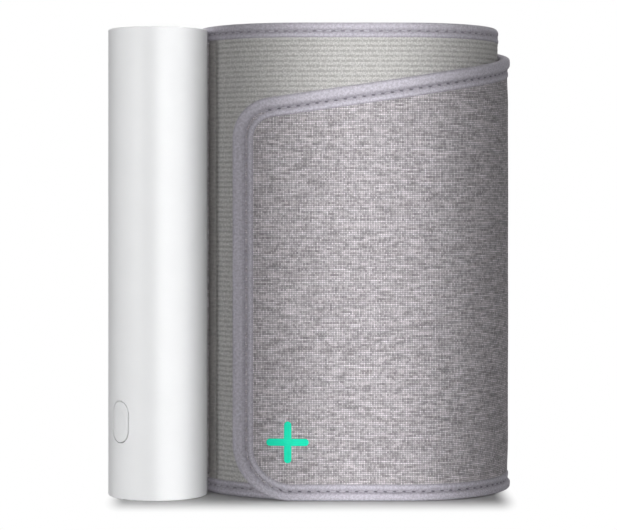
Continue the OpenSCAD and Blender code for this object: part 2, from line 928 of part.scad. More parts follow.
module flap_fabric() {
    color("thistle") flap_layer(shell_in, half_t, tape_t);
}

module flap_lining() {
    color("gray") flap_layer(-half_t, lining_out, tape_t);
}

module flap_binding() {
    grip = half_t + layer_gap;
    color("rosybrown") difference() {
        flap_layer(-tape_half, tape_half, 0);
        flap_layer(-grip, grip, tape_t - layer_gap);
        front_prism() flap_outline_2d(flap_tape_w);
        block([flap_end_x - 0.01, -far, -1], [turn_x + 1, far, cuff_h]);
    }
}

module hook_patch() {
    color("dimgray") intersection() {
        block([flap_bend_x + 1.5, flap_y + half_t, hook_margin],
            [flap_end_x - 3, flap_y + half_t + hook_t, cuff_h]);
        front_prism() flap_outline_2d(hook_margin);
    }
}

module plus_badge() {
    arm = (plus_span - plus_arm) / 2;
    color("mediumaquamarine") intersection() {
        linear_extrude(cuff_h) flap_plan_2d(half_t, half_t + plus_t, flap_bend_x);
        front_prism() translate([plus_x, plus_z]) for (turn = [0, 90]) rotate(turn) {
            for (side = [-1, 1]) translate([side * arm, 0]) circle(plus_arm / 2);
            square([2 * arm, plus_arm], center = true);
        }
    }
}

tube_shell();
top_cap();
bottom_cap();
button();
chassis();
switch_board();
tact_switch();
main_board();
board_chips();
display_board();
lamp_matrix();
light_guide();
display_standoffs();
charging_socket();
charging_board();
battery();
battery_pad();
pump_motor();
pump_head();
pump_rotor();
release_valve();
valve_plunger();
pressure_sensor();
air_manifold();
sensor_hose();
cuff_port();
clamp_plate();
cuff_screws();
shell_fabric();
side_tape();
loop_panel();
outer_lining();
inner_lining();
stiffener();
air_bladder();
top_binding();
ramp_binding();
bottom_binding();
end_binding();
flap_fabric();
flap_lining();
flap_binding();
hook_patch();
plus_badge();
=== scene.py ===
import math

import bmesh
import bpy
import numpy as np
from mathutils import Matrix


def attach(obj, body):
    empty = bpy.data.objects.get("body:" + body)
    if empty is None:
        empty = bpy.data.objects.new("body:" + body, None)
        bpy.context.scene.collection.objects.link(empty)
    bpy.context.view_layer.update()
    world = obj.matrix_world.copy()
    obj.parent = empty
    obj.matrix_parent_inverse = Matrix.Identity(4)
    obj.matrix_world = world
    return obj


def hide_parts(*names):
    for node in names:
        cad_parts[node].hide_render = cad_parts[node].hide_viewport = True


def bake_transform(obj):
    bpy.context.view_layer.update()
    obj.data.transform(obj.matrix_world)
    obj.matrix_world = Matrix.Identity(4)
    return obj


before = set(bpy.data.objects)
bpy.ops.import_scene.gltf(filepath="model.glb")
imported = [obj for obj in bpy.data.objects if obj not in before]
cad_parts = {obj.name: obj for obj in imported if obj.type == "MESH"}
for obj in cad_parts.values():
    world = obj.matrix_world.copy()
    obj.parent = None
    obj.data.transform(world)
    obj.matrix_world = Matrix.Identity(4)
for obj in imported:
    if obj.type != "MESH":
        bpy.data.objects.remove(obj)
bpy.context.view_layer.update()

# ---- sizes in millimetres, the same as the CAD model's ----
# Only the plus sign's arms differ: they are 0.2 narrower than the solid's, as in the photograph.

MM = 0.001
TUBE_R, TUBE_H, TUBE_WALL = 16.0, 150.0, 1.6
BUTTON_W, BUTTON_H, BUTTON_Z, BUTTON_TURN, BUTTON_GAP = 7.0, 13.0, 24.5, 45.0, 0.25
CUFF_H = 151.5
TURN_X, TURN_Y, TURN_R, PITCH = 80.0, 19.0, 33.7, 3.2
INNER_END_X = 62.0
HALF = 1.0
TAPE_HALF = 1.3
BEND_X, BEND_R, TIP_X = 44.8, 50.0, 24.8
TIP_TOP, ROOT_TOP = 126.0, 134.0
TOP_CORNER, LOW_CORNER = 13.0, 18.0
PLUS_X, PLUS_Z, PLUS_SPAN, PLUS_ARM = 42.2, 18.6, 13.2, 2.3
STITCH_PITCH = 3.0

INNER_R = TURN_R - PITCH
LEFT_R = TURN_R - PITCH / 2
LEFT_Y = TURN_Y + PITCH / 2
LEFT_X = math.sqrt((LEFT_R + TAPE_HALF + 0.1 + TUBE_R) ** 2 - LEFT_Y ** 2)
CONTACT = math.atan2(LEFT_Y, LEFT_X)
BEND = math.asin((BEND_X - TIP_X) / BEND_R)

# The strip seen from above, as runs of one length and one curvature each: the flap's bend, the flap, the
# right turn, the back, the left turn, the inner front, the inner right turn and the inner back.
RUNS = np.array([
    (BEND_R * BEND, 1 / BEND_R), (TURN_X - BEND_X, 0), (math.pi * TURN_R, 1 / TURN_R),
    (TURN_X - LEFT_X, 0), (math.pi * LEFT_R, 1 / LEFT_R), (TURN_X - LEFT_X, 0),
    (math.pi * INNER_R, 1 / INNER_R), (TURN_X - INNER_END_X, 0)])
RUN_END = np.cumsum(RUNS[:, 0])
RUN_START = RUN_END - RUNS[:, 0]
RUN_HEAD = -BEND + np.cumsum(RUNS[:, 0] * RUNS[:, 1]) - RUNS[:, 0] * RUNS[:, 1]
S_HINGE, S_TURN, S_LEFT, S_END = RUN_END[1], RUN_END[2], RUN_END[3], RUN_END[7]
S_SPLIT = S_TURN + 10.0
S_FABRIC_END = S_LEFT + LEFT_R * (math.radians(95) + CONTACT)
S_LOOP = S_FABRIC_END + LEFT_R * math.radians(8.3)


def along(s, index, x0, y0):
    """Point and heading at arc length s on a run: its start plus the integral of the heading's direction."""
    ds = s - RUN_START[index]
    bend = RUNS[index, 1]
    start = RUN_HEAD[index]
    head = start + bend * ds
    flat = bend == 0
    safe = np.where(flat, 1.0, bend)
    x = x0 + np.where(flat, ds * np.cos(start), (np.sin(head) - np.sin(start)) / safe)
    y = y0 + np.where(flat, ds * np.sin(start), (np.cos(start) - np.cos(head)) / safe)
    return x, y, head


RUN_X, RUN_Y = [TIP_X], [TURN_Y - TURN_R + BEND_R * (1 - math.cos(BEND))]
for run in range(len(RUNS) - 1):
    x, y, _ = along(RUN_END[run], run, RUN_X[-1], RUN_Y[-1])
    RUN_X.append(float(x))
    RUN_Y.append(float(y))
RUN_X, RUN_Y = np.array(RUN_X), np.array(RUN_Y)


def place(s, z, n):
    """Strip coordinates to space: arc length s along the roll, height z, and n outwards from the middle."""
    s, z, n = np.broadcast_arrays(np.asarray(s, float), z, n)
    index = np.clip(np.searchsorted(RUN_END, s), 0, len(RUNS) - 1)
    x, y, head = along(s, index, RUN_X[index], RUN_Y[index])
    return np.stack([x + n * np.sin(head), y - n * np.cos(head), z], -1)


def s_of_x(x):
    """Arc length of a point of the flap whose place seen from the front is x."""
    turn = np.arcsin(np.clip((BEND_X - x) / BEND_R, -1, 1))
    return np.where(x < BEND_X, RUN_END[0] - BEND_R * turn, RUN_END[0] + x - BEND_X)


def x_of_s(s):
    """The inverse of s_of_x."""
    turn = (RUN_END[0] - s) / BEND_R
    return np.where(s < RUN_END[0], BEND_X - BEND_R * np.sin(np.maximum(turn, 0)), BEND_X + s - RUN_END[0])


def top_edge(s):
    """Height of the top edge: the flap's slope, then a steady rise over the right turn, then level.
    The rise and the level part meet in a smooth minimum."""
    flap = TIP_TOP + (ROOT_TOP - TIP_TOP) * (x_of_s(s) - TIP_X) / (TURN_X - TIP_X)
    rise = ROOT_TOP + (CUFF_H - ROOT_TOP) * (s - S_HINGE) / (S_TURN - S_HINGE)
    line = np.where(s < S_HINGE, flap, rise)
    return (line + CUFF_H - np.sqrt((line - CUFF_H) ** 2 + 0.6)) / 2


SLOPE = math.atan2(ROOT_TOP - TIP_TOP, TURN_X - TIP_X)
TOP_C = (TIP_X + TOP_CORNER, TIP_TOP + TOP_CORNER * math.tan(SLOPE) - TOP_CORNER / math.cos(SLOPE))
LOW_C = (TIP_X + LOW_CORNER, LOW_CORNER)


def left_limit(rows, inset):
    """Arc length of the flap's rounded left edge on each row, found by halving the interval.
    A row is a share of the height between the bottom and the top edge, both moved in by the inset."""
    low, high = np.zeros_like(rows), np.full_like(rows, S_HINGE)
    for _ in range(30):
        s = (low + high) / 2
        x = x_of_s(s)
        z = inset + rows * (top_edge(s) - 2 * inset)
        inside = x >= TIP_X + inset
        for (cx, cz), radius, sign in ((TOP_C, TOP_CORNER, 1), (LOW_C, LOW_CORNER, -1)):
            corner = (x < cx) & (sign * (z - cz) > 0)
            inside &= ~corner | (np.hypot(x - cx, z - cz) <= radius - inset)
        low, high = np.where(inside, low, s), np.where(inside, s, high)
    return high


def ripple(s, z, size, seed):
    """Slow unevenness of the cloth: a sum of sine waves in random directions, about 1 in height."""
    draw = np.random.default_rng(seed)
    total = np.zeros(np.broadcast(s, z).shape)
    for _ in range(7):
        angle, phase, length = draw.uniform(0, 2 * math.pi, 2).tolist() + [draw.uniform(0.7, 1.6) * size]
        total += np.sin((s * math.cos(angle) + z * math.sin(angle)) * 2 * math.pi / length + phase)
    return total / 3.5


# ---- meshes ----

def grid_faces(rows, columns, wrap=False, start=0, flip=False):
    """Quads of a grid of points stored row by row; with wrap, the last column joins the first."""
    i = np.arange(rows - 1)[:, None]
    j = np.arange(columns if wrap else columns - 1)[None, :]
    k = (j + 1) % columns
    quads = np.stack(np.broadcast_arrays(
        i * columns + j, (i + 1) * columns + j, (i + 1) * columns + k, i * columns + k), -1)
    quads = quads.reshape(-1, 4) + start
    return quads[:, ::-1] if flip else quads


def make_piece(name, points, faces, material, body=None, uv=None, replaces=(), slot=None, merge=0.0):
    """A mesh object from points in millimetres, with its finish, its body and the CAD nodes it stands for."""
    mesh = bpy.data.meshes.new(name)
    mesh.from_pydata((np.asarray(points).reshape(-1, 3) * MM).tolist(), [],
                     faces.tolist() if isinstance(faces, np.ndarray) else faces)
    if uv is not None:
        corner = np.empty(len(mesh.loops), int)
        mesh.loops.foreach_get("vertex_index", corner)
        mesh.uv_layers.new(name="strip").data.foreach_set("uv", uv.reshape(-1, 2)[corner].ravel())
    work = bmesh.new()
    work.from_mesh(mesh)
    if merge:
        bmesh.ops.remove_doubles(work, verts=work.verts, dist=merge * MM)
    bmesh.ops.recalc_face_normals(work, faces=work.faces)
    work.to_mesh(mesh)
    work.free()
    mesh.validate()
    mesh.shade_smooth()
    piece = bpy.data.objects.new(name, mesh)
    bpy.context.scene.collection.objects.link(piece)
    mesh.materials.append(material)
    if body:
        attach(piece, body)
    if replaces:
        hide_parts(*replaces)
    return piece


def slab(outer, inner, uv):
    """A closed sheet between two grids of points, with a wall round their edge."""
    rows, columns = outer.shape[:2]
    count = rows * columns
    index = np.arange(count).reshape(rows, columns)
    ring = np.concatenate([index[:-1, 0], index[-1, :-1], index[:0:-1, -1], index[0, :0:-1]])
    after = np.roll(ring, -1)
    wall = np.stack([ring, ring + count, after + count, after], -1)
    faces = np.concatenate([grid_faces(rows, columns), grid_faces(rows, columns, start=count, flip=True),
                            wall[:, ::-1]])
    return np.concatenate([outer.reshape(-1, 3), inner.reshape(-1, 3)]), faces, np.concatenate([uv, uv])


def cross_hinge(piece):
    """Bakes the piece's placement into its mesh. The real piece follows the roll right of the fold and the
    flap left of it, turning over 14 mm between; this does not bend it.
    """
    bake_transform(piece)


# ---- node trees ----

class Net:
    """Short calls for the nodes of one tree: each adds a node and returns one of its outputs."""

    def __init__(self, tree):
        self.nodes, self.links = tree.nodes, tree.links

    def node(self, kind, feeds=None, out=0, **settings):
        made = self.nodes.new("ShaderNode" + kind)
        for key, value in settings.items():
            setattr(made, key, value)
        for key, value in (feeds or {}).items():
            if isinstance(value, bpy.types.NodeSocket):
                self.links.new(value, made.inputs[key])
            else:
                made.inputs[key].default_value = value
        return made.outputs[out]

    def math(self, operation, a, b=0.0, c=0.0):
        return self.node("Math", {0: a, 1: b, 2: c}, operation=operation)

    def plus(self, a, b):
        return self.math("ADD", a, b)

    def less(self, a, b):
        return self.math("SUBTRACT", a, b)

    def times(self, a, b):
        return self.math("MULTIPLY", a, b)

    def scaled(self, a, factor, offset):
        return self.math("MULTIPLY_ADD", a, factor, offset)

    def larger(self, a, b):
        return self.math("MAXIMUM", a, b)

    def wave(self, at, length, kind="SINE"):
        """A sine or cosine wave of this length, from 0 to 1."""
        return self.scaled(self.math(kind, self.times(at, 2 * math.pi / length)), 0.5, 0.5)

    def seen_directly(self):
        """1 for rays from the camera and for those reflected or sent through glass, otherwise 0."""
        ray = self.node("LightPath").node.outputs
        bent = self.larger(ray["Is Glossy Ray"], ray["Is Transmission Ray"])
        return self.larger(ray["Is Camera Ray"], bent)

    def mix(self, share, a, b):
        return self.node("Mix", {0: share, 6: a, 7: b}, out=2, data_type="RGBA")

    def blend(self, share, a, b):
        return self.node("Mix", {0: share, 2: a, 3: b}, data_type="FLOAT")

    def step(self, value, low, high, to_low=0.0, to_high=1.0):
        """Smooth step of a value from one level to another."""
        return self.node("MapRange", {0: value, 1: low, 2: high, 3: to_low, 4: to_high},
                         interpolation_type="SMOOTHSTEP")

    def noise(self, vector, scale, detail=2.0, rough=0.5, flat=False):
        return self.node("TexNoise", {"Vector": vector, "Scale": scale, "Detail": detail, "Roughness": rough},
                         noise_dimensions="2D" if flat else "3D")

    def vector(self, x, y, z=0.0):
        return self.node("CombineXYZ", {0: x, 1: y, 2: z})

    def split(self, vector):
        made = self.node("SeparateXYZ", {0: vector}).node
        return made.outputs[0], made.outputs[1], made.outputs[2]

    def strip(self):
        """The piece's own map, in millimetres along and across the strip."""
        return self.node("UVMap", uv_map="strip")

    def place(self):
        """Object coordinates in millimetres."""
        here = self.node("TexCoord", out=3)
        return self.node("VectorMath", {0: here, 3: 1000.0}, operation="SCALE")

    def bump(self, height, depth, strength=1.0):
        return self.node("Bump", {"Height": height, "Distance": depth * MM, "Strength": strength})

    def effect(self, group, out, **feeds):
        made = self.nodes.new("ShaderNodeGroup")
        made.node_tree = group
        for key, value in feeds.items():
            label = key.replace("_", " ")
            if isinstance(value, bpy.types.NodeSocket):
                self.links.new(value, made.inputs[label])
            else:
                made.inputs[label].default_value = value
        return [made.outputs[label] for label in out]


def effect_group(name, inputs, outputs, build):
    """A shader node group with named inputs and outputs."""
    tree = bpy.data.node_groups.new(name, "ShaderNodeTree")
    for label, kind, value in inputs:
        socket = tree.interface.new_socket(label, in_out="INPUT", socket_type="NodeSocket" + kind)
        if value is not None:
            socket.default_value = value
    for label, kind in outputs:
        tree.interface.new_socket(label, in_out="OUTPUT", socket_type="NodeSocket" + kind)
    start, end = tree.nodes.new("NodeGroupInput"), tree.nodes.new("NodeGroupOutput")
    for (label, _), socket in zip(outputs, build(Net(tree), start.outputs)):
        tree.links.new(socket, end.inputs[label])
    return tree


def finish(name, build, **constants):
    """A material: one Principled BSDF with plain constants, and what build returns on its other sockets."""
    material = bpy.data.materials.new(name)
    material.use_nodes = True
    tree = material.node_tree
    shader = next(n for n in tree.nodes if n.type == "BSDF_PRINCIPLED")
    for key, value in constants.items():
        shader.inputs[key.replace("_", " ")].default_value = value
    for label, value in build(Net(tree)).items():
        tree.links.new(value, shader.inputs[label])
    return material


def rgb(r, g, b):
    """A linear colour."""
    return (r, g, b, 1.0)


# Lengths of the patterns on the cloth, in millimetres, and how far the tape's rib slants.
RIB = 1.6
HEATHER_PITCH, LINING_PITCH, STRIP_PITCH, PRINT_PITCH = 0.53, 0.3, 0.36, 0.45
TAPE_RIB, TAPE_CROSS, TAPE_SLANT = 0.42, 0.36, 0.7
THREAD_TWIST = 0.35
GROOVE_FLAP, WIDTH_FLAP = 4.0, 6.3
GROOVE_ROLL, WIDTH_ROLL = 2.8, 4.8


def weave_nodes(net, given):
    """Plain weave: at each crossing the warp or the weft lies on top, by turns. The colour carries painted
    shade, darker in the holes between the threads and at their rounded edges. Each thread has its own tone,
    which drifts along it, and some weft threads have long light slubs."""
    x, y, _ = net.split(given["Vector"])
    pitch = given["Pitch"]
    u, v = net.math("DIVIDE", x, pitch), net.math("DIVIDE", y, net.times(pitch, 1.1))
    i, j = net.math("FLOOR", u), net.math("FLOOR", v)
    warp_at = net.vector(net.times(i, 7.31), net.times(y, 0.5))
    weft_at = net.vector(net.times(x, 0.2), net.times(j, 5.87))
    warp = net.noise(warp_at, 1.0, 2.0, 0.6, flat=True)
    weft = net.noise(weft_at, 1.0, 3.0, 0.65, flat=True)
    slub_at = net.vector(net.times(x, 0.13), net.times(j, 3.13), 40.0)
    slub = net.step(net.noise(slub_at, 1.0, 1.0), 0.58, 0.7)
    over = net.math("MODULO", net.plus(net.math("ABSOLUTE", i), net.math("ABSOLUTE", j)), 2.0)
    tone = net.blend(net.blend(over, 0.38, 0.78), warp, weft)
    tone = net.step(tone, 0.27, 0.73)
    tone = net.blend(net.times(slub, given["Slub"]), net.times(tone, 0.8), 1.0)
    across = net.less(net.times(net.math("FRACT", u), 2.0), 1.0)
    up = net.less(net.times(net.math("FRACT", v), 2.0), 1.0)
    round_u = net.less(1.0, net.times(across, across))
    round_v = net.less(1.0, net.times(up, up))
    height = net.blend(over, net.times(round_u, net.scaled(round_v, 0.5, 0.5)),
                       net.times(round_v, net.scaled(round_u, 0.5, 0.5)))
    colour = net.mix(tone, given["Dark"], given["Light"])
    # shade: painted shade from the height, dark in the holes between threads and at their rounded edges
    shade = net.scaled(height, 1.22, 0.44)
    colour = net.node("VectorMath", {0: colour, 3: shade}, operation="SCALE")
    return colour, height


WEAVE = effect_group(
    "plain_weave",
    [("Vector", "Vector", None), ("Pitch", "Float", 0.45), ("Slub", "Float", 0.5),
     ("Light", "Color", rgb(0.7, 0.7, 0.7)), ("Dark", "Color", rgb(0.2, 0.2, 0.2))],
    [("Color", "Color"), ("Height", "Float")], weave_nodes)


def grain_nodes(net, given):
    """Fine moulded grain: small even noise for the height, and slow noise for the wear of the gloss."""
    fine = net.noise(given["Vector"], given["Scale"], 3.0, 0.6)
    slow = net.noise(given["Vector"], 0.08, 2.0, 0.5)
    return fine, slow


GRAIN = effect_group("moulded_grain", [("Vector", "Vector", None), ("Scale", "Float", 6.0)],
                     [("Fine", "Float"), ("Slow", "Float")], grain_nodes)


def plastic(name, colour, roughness, grain=6.0, depth=0.004, **constants):
    """Moulded plastic: a colour that drifts a little, with a fine grain in its gloss and surface."""
    def build(net):
        fine, slow = net.effect(GRAIN, ("Fine", "Slow"), Vector=net.place(), Scale=grain)
        darker = tuple(0.985 * part for part in colour[:3]) + (1.0,)
        return {"Base Color": net.mix(net.step(slow, 0.3, 0.7), darker, colour),
                "Roughness": net.plus(roughness, net.times(fine, 0.12)),
                "Normal": net.bump(fine, depth)}
    return finish(name, build, **constants)


def heather_nodes(net):
    colour, height = net.effect(WEAVE, ("Color", "Height"), Vector=net.strip(), Pitch=HEATHER_PITCH, Slub=0.4,
                                Light=rgb(0.88, 0.826, 0.865), Dark=rgb(0.30, 0.278, 0.295))
    return {"Base Color": colour, "Normal": net.bump(height, 0.36)}


def pile_nodes(net):
    """Brushed loop pile: fuzzy noise over the ribs that the mesh has, with painted shade in broken lines
    between them.
    """
    x, y, _ = net.split(net.strip())
    row = net.math("FLOOR", net.plus(net.math("DIVIDE", y, RIB), 0.5))
    valley = net.wave(y, RIB, "COSINE")
    fuzz = net.noise(net.vector(x, y), 1.9, 5.0, 0.75, flat=True)
    dash_at = net.vector(net.times(x, 0.9), net.times(row, 4.7))
    dash = net.step(net.noise(dash_at, 1.0, 2.0, 0.6, flat=True), 0.40, 0.62)
    # line: painted shade in the hollows between the ribs, broken into dashes; it darkens the tone
    line = net.times(net.math("POWER", valley, 2.0), net.scaled(dash, 0.6, 0.4))
    tone = net.less(net.step(fuzz, 0.25, 0.75), net.times(line, 0.75))
    colour = net.mix(net.larger(tone, 0.0), rgb(0.46, 0.45, 0.435), rgb(0.88, 0.87, 0.85))
    return {"Base Color": colour, "Normal": net.bump(tone, 0.16)}


def tape_nodes(groove, width, marks):
    """Binding tape: a fine slanting rib and slow mottling. Painted shade darkens the colour in the groove,
    along the stitch line and at the two edges, and marks a needle hole at each end of each stitch."""
    def build(net):
        x, y, _ = net.split(net.strip())
        rib = net.wave(net.plus(x, net.times(y, TAPE_SLANT)), TAPE_RIB)
        cross = net.wave(y, TAPE_CROSS)
        mottle = net.step(net.noise(net.vector(x, y), 1.3, 5.0, 0.8, flat=True), 0.32, 0.68)
        across = net.math("ABSOLUTE", y)
        beside = net.less(across, groove)
        off = net.math("ABSOLUTE", beside)
        cell = net.node("Math", {0: x, 1: STITCH_PITCH / 2, 2: -STITCH_PITCH / 2}, operation="WRAP")
        tilted = net.less(beside, net.times(cell, 0.22))
        longer = net.times(cell, 0.55)
        reach = net.math("SQRT", net.plus(net.times(longer, longer), net.times(tilted, tilted)))
        # hole: painted shade of a needle hole at each end of each stitch; it also dents the bump
        hole = net.step(reach, 0.20, 0.42, 1.0, 0.0)
        # Painted shade: seam darkens the stitch line, valley the groove's flanks, lip and fold the tape's two
        # edges.
        seam = net.step(off, 0.05, 0.40, 1.0, 0.0)
        valley = net.step(off, 0.10, 1.60, 1.0, 0.0)
        lip = net.step(across, width - 0.9, width - 0.1)
        fold = net.step(across, 0.1, 1.1, 1.0, 0.0)
        tone = net.plus(net.times(mottle, 0.6), net.plus(net.times(rib, 0.25), net.times(cross, 0.15)))
        colour = net.mix(tone, rgb(0.36, 0.338, 0.387), rgb(0.71, 0.685, 0.76))
        # hollow and dark: the painted shade of the groove, the edges, the needle holes and the stitch line
        hollow = net.larger(net.times(valley, 0.30), net.larger(net.times(lip, 0.30), net.times(fold, 0.22)))
        dark = net.larger(net.times(hole, marks), net.times(seam, 0.52))
        colour = net.mix(net.larger(dark, hollow), colour, rgb(0.10, 0.09, 0.11))
        height = net.less(net.plus(net.times(rib, 0.5), cross), net.times(hole, 6.0))
        return {"Base Color": colour, "Normal": net.bump(height, 0.03)}
    return build


def thread_nodes(net):
    """Sewing thread: two plies that twist round each other."""
    x, y, _ = net.split(net.strip())
    ply = net.wave(net.plus(x, y), THREAD_TWIST)
    return {"Base Color": net.mix(ply, rgb(0.40, 0.38, 0.43), rgb(0.60, 0.575, 0.635)),
            "Normal": net.bump(ply, 0.04)}


def lining_nodes(net):
    colour, height = net.effect(WEAVE, ("Color", "Height"), Vector=net.strip(), Pitch=LINING_PITCH, Slub=0.05,
                                Light=rgb(0.36, 0.345, 0.37), Dark=rgb(0.22, 0.21, 0.23))
    return {"Base Color": colour, "Normal": net.bump(height, 0.05)}


def strip_nodes(net):
    # The side tape's own dark grey, made darker still as painted shade of the gap between the tube and the
    # roll.
    colour, height = net.effect(WEAVE, ("Color", "Height"), Vector=net.strip(), Pitch=STRIP_PITCH, Slub=0.1,
                                Light=rgb(0.46, 0.442, 0.432), Dark=rgb(0.27, 0.26, 0.253))
    return {"Base Color": colour, "Normal": net.bump(height, 0.06)}


def hook_nodes(net):
    """Hook tape: rows of tiny stiff hooks on a dark woven ground."""
    x, y, _ = net.split(net.strip())
    dot = net.node("TexVoronoi", {"Vector": net.vector(x, y), "Scale": 1.4, "Randomness": 0.25},
                   voronoi_dimensions="2D")
    hook = net.step(dot, 0.12, 0.42, 1.0, 0.0)
    return {"Base Color": net.mix(hook, rgb(0.09, 0.085, 0.09), rgb(0.20, 0.195, 0.205)),
            "Roughness": net.blend(hook, 0.9, 0.45), "Normal": net.bump(hook, 0.25)}


def print_nodes(net):
    """Thick screen print: even colour with the weave showing faintly through it."""
    x, y, _ = net.split(net.strip())
    _, height = net.effect(WEAVE, ("Color", "Height"), Vector=net.vector(x, y), Pitch=PRINT_PITCH)
    slow = net.noise(net.vector(x, y), 0.7, 3.0, 0.6, flat=True)
    colour = net.mix(slow, rgb(0.008, 0.84, 0.52), rgb(0.014, 0.95, 0.61))
    return {"Base Color": colour, "Normal": net.bump(net.plus(height, slow), 0.03),
            "Roughness": net.scaled(slow, 0.2, 0.4)}


def board_nodes(net):
    """Circuit board: green solder mask over slightly raised straight tracks."""
    place = net.place()
    x, y, z = net.split(place)
    tracks = net.node("TexBrick", {"Vector": net.vector(x, z, y), "Scale": 0.9, "Mortar Size": 0.05,
                                   "Mortar Smooth": 0.3}, out=1)
    slow = net.noise(place, 0.3, 2.0)
    base = net.mix(slow, rgb(0.010, 0.13, 0.05), rgb(0.018, 0.19, 0.075))
    return {"Base Color": net.mix(tracks, base, rgb(0.03, 0.27, 0.11)),
            "Roughness": net.scaled(slow, 0.2, 0.25), "Normal": net.bump(tracks, 0.05)}


def metal(name, colour, roughness, stretch):
    """Drawn or turned metal: fine lines along one direction in its gloss."""
    def build(net):
        x, y, z = net.split(net.place())
        lines = net.noise(net.vector(net.times(x, stretch[0]), net.times(y, stretch[1]),
                                     net.times(z, stretch[2])), 1.0, 3.0)
        darker = tuple(0.8 * part for part in colour[:3]) + (1.0,)
        return {"Base Color": net.mix(lines, darker, colour),
                "Roughness": net.scaled(lines, 0.25, roughness),
                "Normal": net.bump(lines, 0.01)}
    return finish(name, build, Metallic=1.0)


def soft(name, low, high, scale, depth, **constants):
    """Foam, film or rubber: noise between two colours, with its height."""
    def build(net):
        cells = net.noise(net.place(), scale, 4.0, 0.65)
        return {"Base Color": net.mix(net.step(cells, 0.3, 0.7), low, high), "Normal": net.bump(cells, depth)}
    return finish(name, build, **constants)


white_satin = plastic("white_satin", rgb(0.905, 0.91, 0.92), 0.42, 5.0, 0.0025)
button_satin = plastic("button_satin", rgb(0.895, 0.90, 0.91), 0.45, 7.0, 0.003)
grey_moulding = plastic("grey_moulding", rgb(0.55, 0.56, 0.57), 0.45)
dark_moulding = plastic("dark_moulding", rgb(0.025, 0.026, 0.028), 0.4)
lens_white = plastic("lens_white", rgb(0.80, 0.80, 0.76), 0.15, 9.0, 0.002)
cell_wrap = plastic("cell_wrap", rgb(0.03, 0.16, 0.36), 0.3, 4.0, 0.01)
board_green = finish("board_green", board_nodes, Coat_Weight=0.4)
plain_steel = metal("plain_steel", rgb(0.62, 0.63, 0.65), 0.25, (0.6, 0.6, 9.0))
warm_brass = metal("warm_brass", rgb(0.72, 0.52, 0.22), 0.22, (0.6, 0.6, 9.0))
dark_foam = soft("dark_foam", rgb(0.035, 0.035, 0.04), rgb(0.09, 0.09, 0.095), 2.2, 0.3, Roughness=0.95)
clear_hose = soft("clear_hose", rgb(0.72, 0.73, 0.73), rgb(0.82, 0.83, 0.83), 0.8, 0.01, Roughness=0.25,
                  Transmission_Weight=0.25)
milky_film = soft("milky_film", rgb(0.55, 0.60, 0.66), rgb(0.66, 0.71, 0.77), 0.5, 0.05, Roughness=0.3)
stiff_sheet = soft("stiff_sheet", rgb(0.70, 0.70, 0.69), rgb(0.80, 0.80, 0.79), 1.2, 0.01, Roughness=0.5)
heather_cloth = finish("heather_cloth", heather_nodes, Roughness=0.92, Sheen_Weight=0.12,
                       Sheen_Roughness=0.6, Specular_IOR_Level=0.2)
rib_pile = finish("rib_pile", pile_nodes, Roughness=1.0, Sheen_Weight=0.25, Sheen_Roughness=0.5,
                  Specular_IOR_Level=0.1)
flap_binding_cloth = finish("flap_binding_cloth", tape_nodes(GROOVE_FLAP, WIDTH_FLAP, 0.75), Roughness=0.78,
                            Sheen_Weight=0.15, Specular_IOR_Level=0.25)
roll_binding_cloth = finish("roll_binding_cloth", tape_nodes(GROOVE_ROLL, WIDTH_ROLL, 0.5), Roughness=0.78,
                            Sheen_Weight=0.15, Specular_IOR_Level=0.25)
sewing_thread = finish("sewing_thread", thread_nodes, Roughness=0.6, Specular_IOR_Level=0.3)
grey_lining = finish("grey_lining", lining_nodes, Roughness=0.85, Specular_IOR_Level=0.2)
seam_cloth_and_shade = finish("seam_cloth_and_shade", strip_nodes, Roughness=0.85, Specular_IOR_Level=0.2)
hook_cloth = finish("hook_cloth", hook_nodes, Specular_IOR_Level=0.35)
mint_print = finish("mint_print", print_nodes, Specular_IOR_Level=0.12)

# ---- camera ----

view = bpy.data.cameras.new("front_view")
view.sensor_fit = "HORIZONTAL"
view.sensor_width, view.lens = 36.0, 117.22
view.shift_y = -0.1146
view.clip_start, view.clip_end = 0.01, 20.0
camera = bpy.data.objects.new("front_view", view)
camera.location = (0.0487, -0.650, 0.0969)
camera.rotation_euler = (math.radians(90), 0, 0)
bpy.context.scene.collection.objects.link(camera)
bpy.context.scene.camera = camera
bpy.context.scene.view_settings.view_transform = "Standard"

# ---- the cloth of the roll and the flap ----


# Heights over the strip's middle of the hidden sides of covers and linings, and how far a cover is pressed
# down under its binding.
COVER_BACK, LINING_BACK = 0.45, -0.46
PRESSED = 0.22


def share(count, low=0.0, high=1.0):
    return np.linspace(low, high, count)


def cushion(distance, reach):
    """How far the cloth has risen this far from its binding: none at the seam, all of it after the reach."""
    t = np.clip(distance / reach, 0, 1)
    return t * t * (3 - 2 * t)


def flap_grid(columns, rows, inset):
    """Arc lengths and heights over the flap and the right turn: each row starts on the rounded left edge,
    and rows are closer together near the bottom and the top."""
    v = (1 - np.cos(math.pi * share(rows))) / 2
    v = 0.5 * v + 0.5 * share(rows)
    left = left_limit(v, inset)
    s = left[None, :] + (S_SPLIT - left[None, :]) * share(columns)[:, None]
    z = inset + v[None, :] * (top_edge(s) - 2 * inset)
    edge = np.minimum(np.minimum(z, top_edge(s) - z), s - left[None, :] + inset)
    return s, z, edge


def cloth(name, s, z, outer, inner, material, **how):
    """A closed sheet on the strip between two heights over its middle, mapped in millimetres."""
    uv = np.stack(np.broadcast_arrays(s, z), -1).reshape(-1, 2)
    points, faces, uv = slab(place(s, z, outer), place(s, z, inner), uv)
    return make_piece(name, points, faces, material, uv=uv, **how)


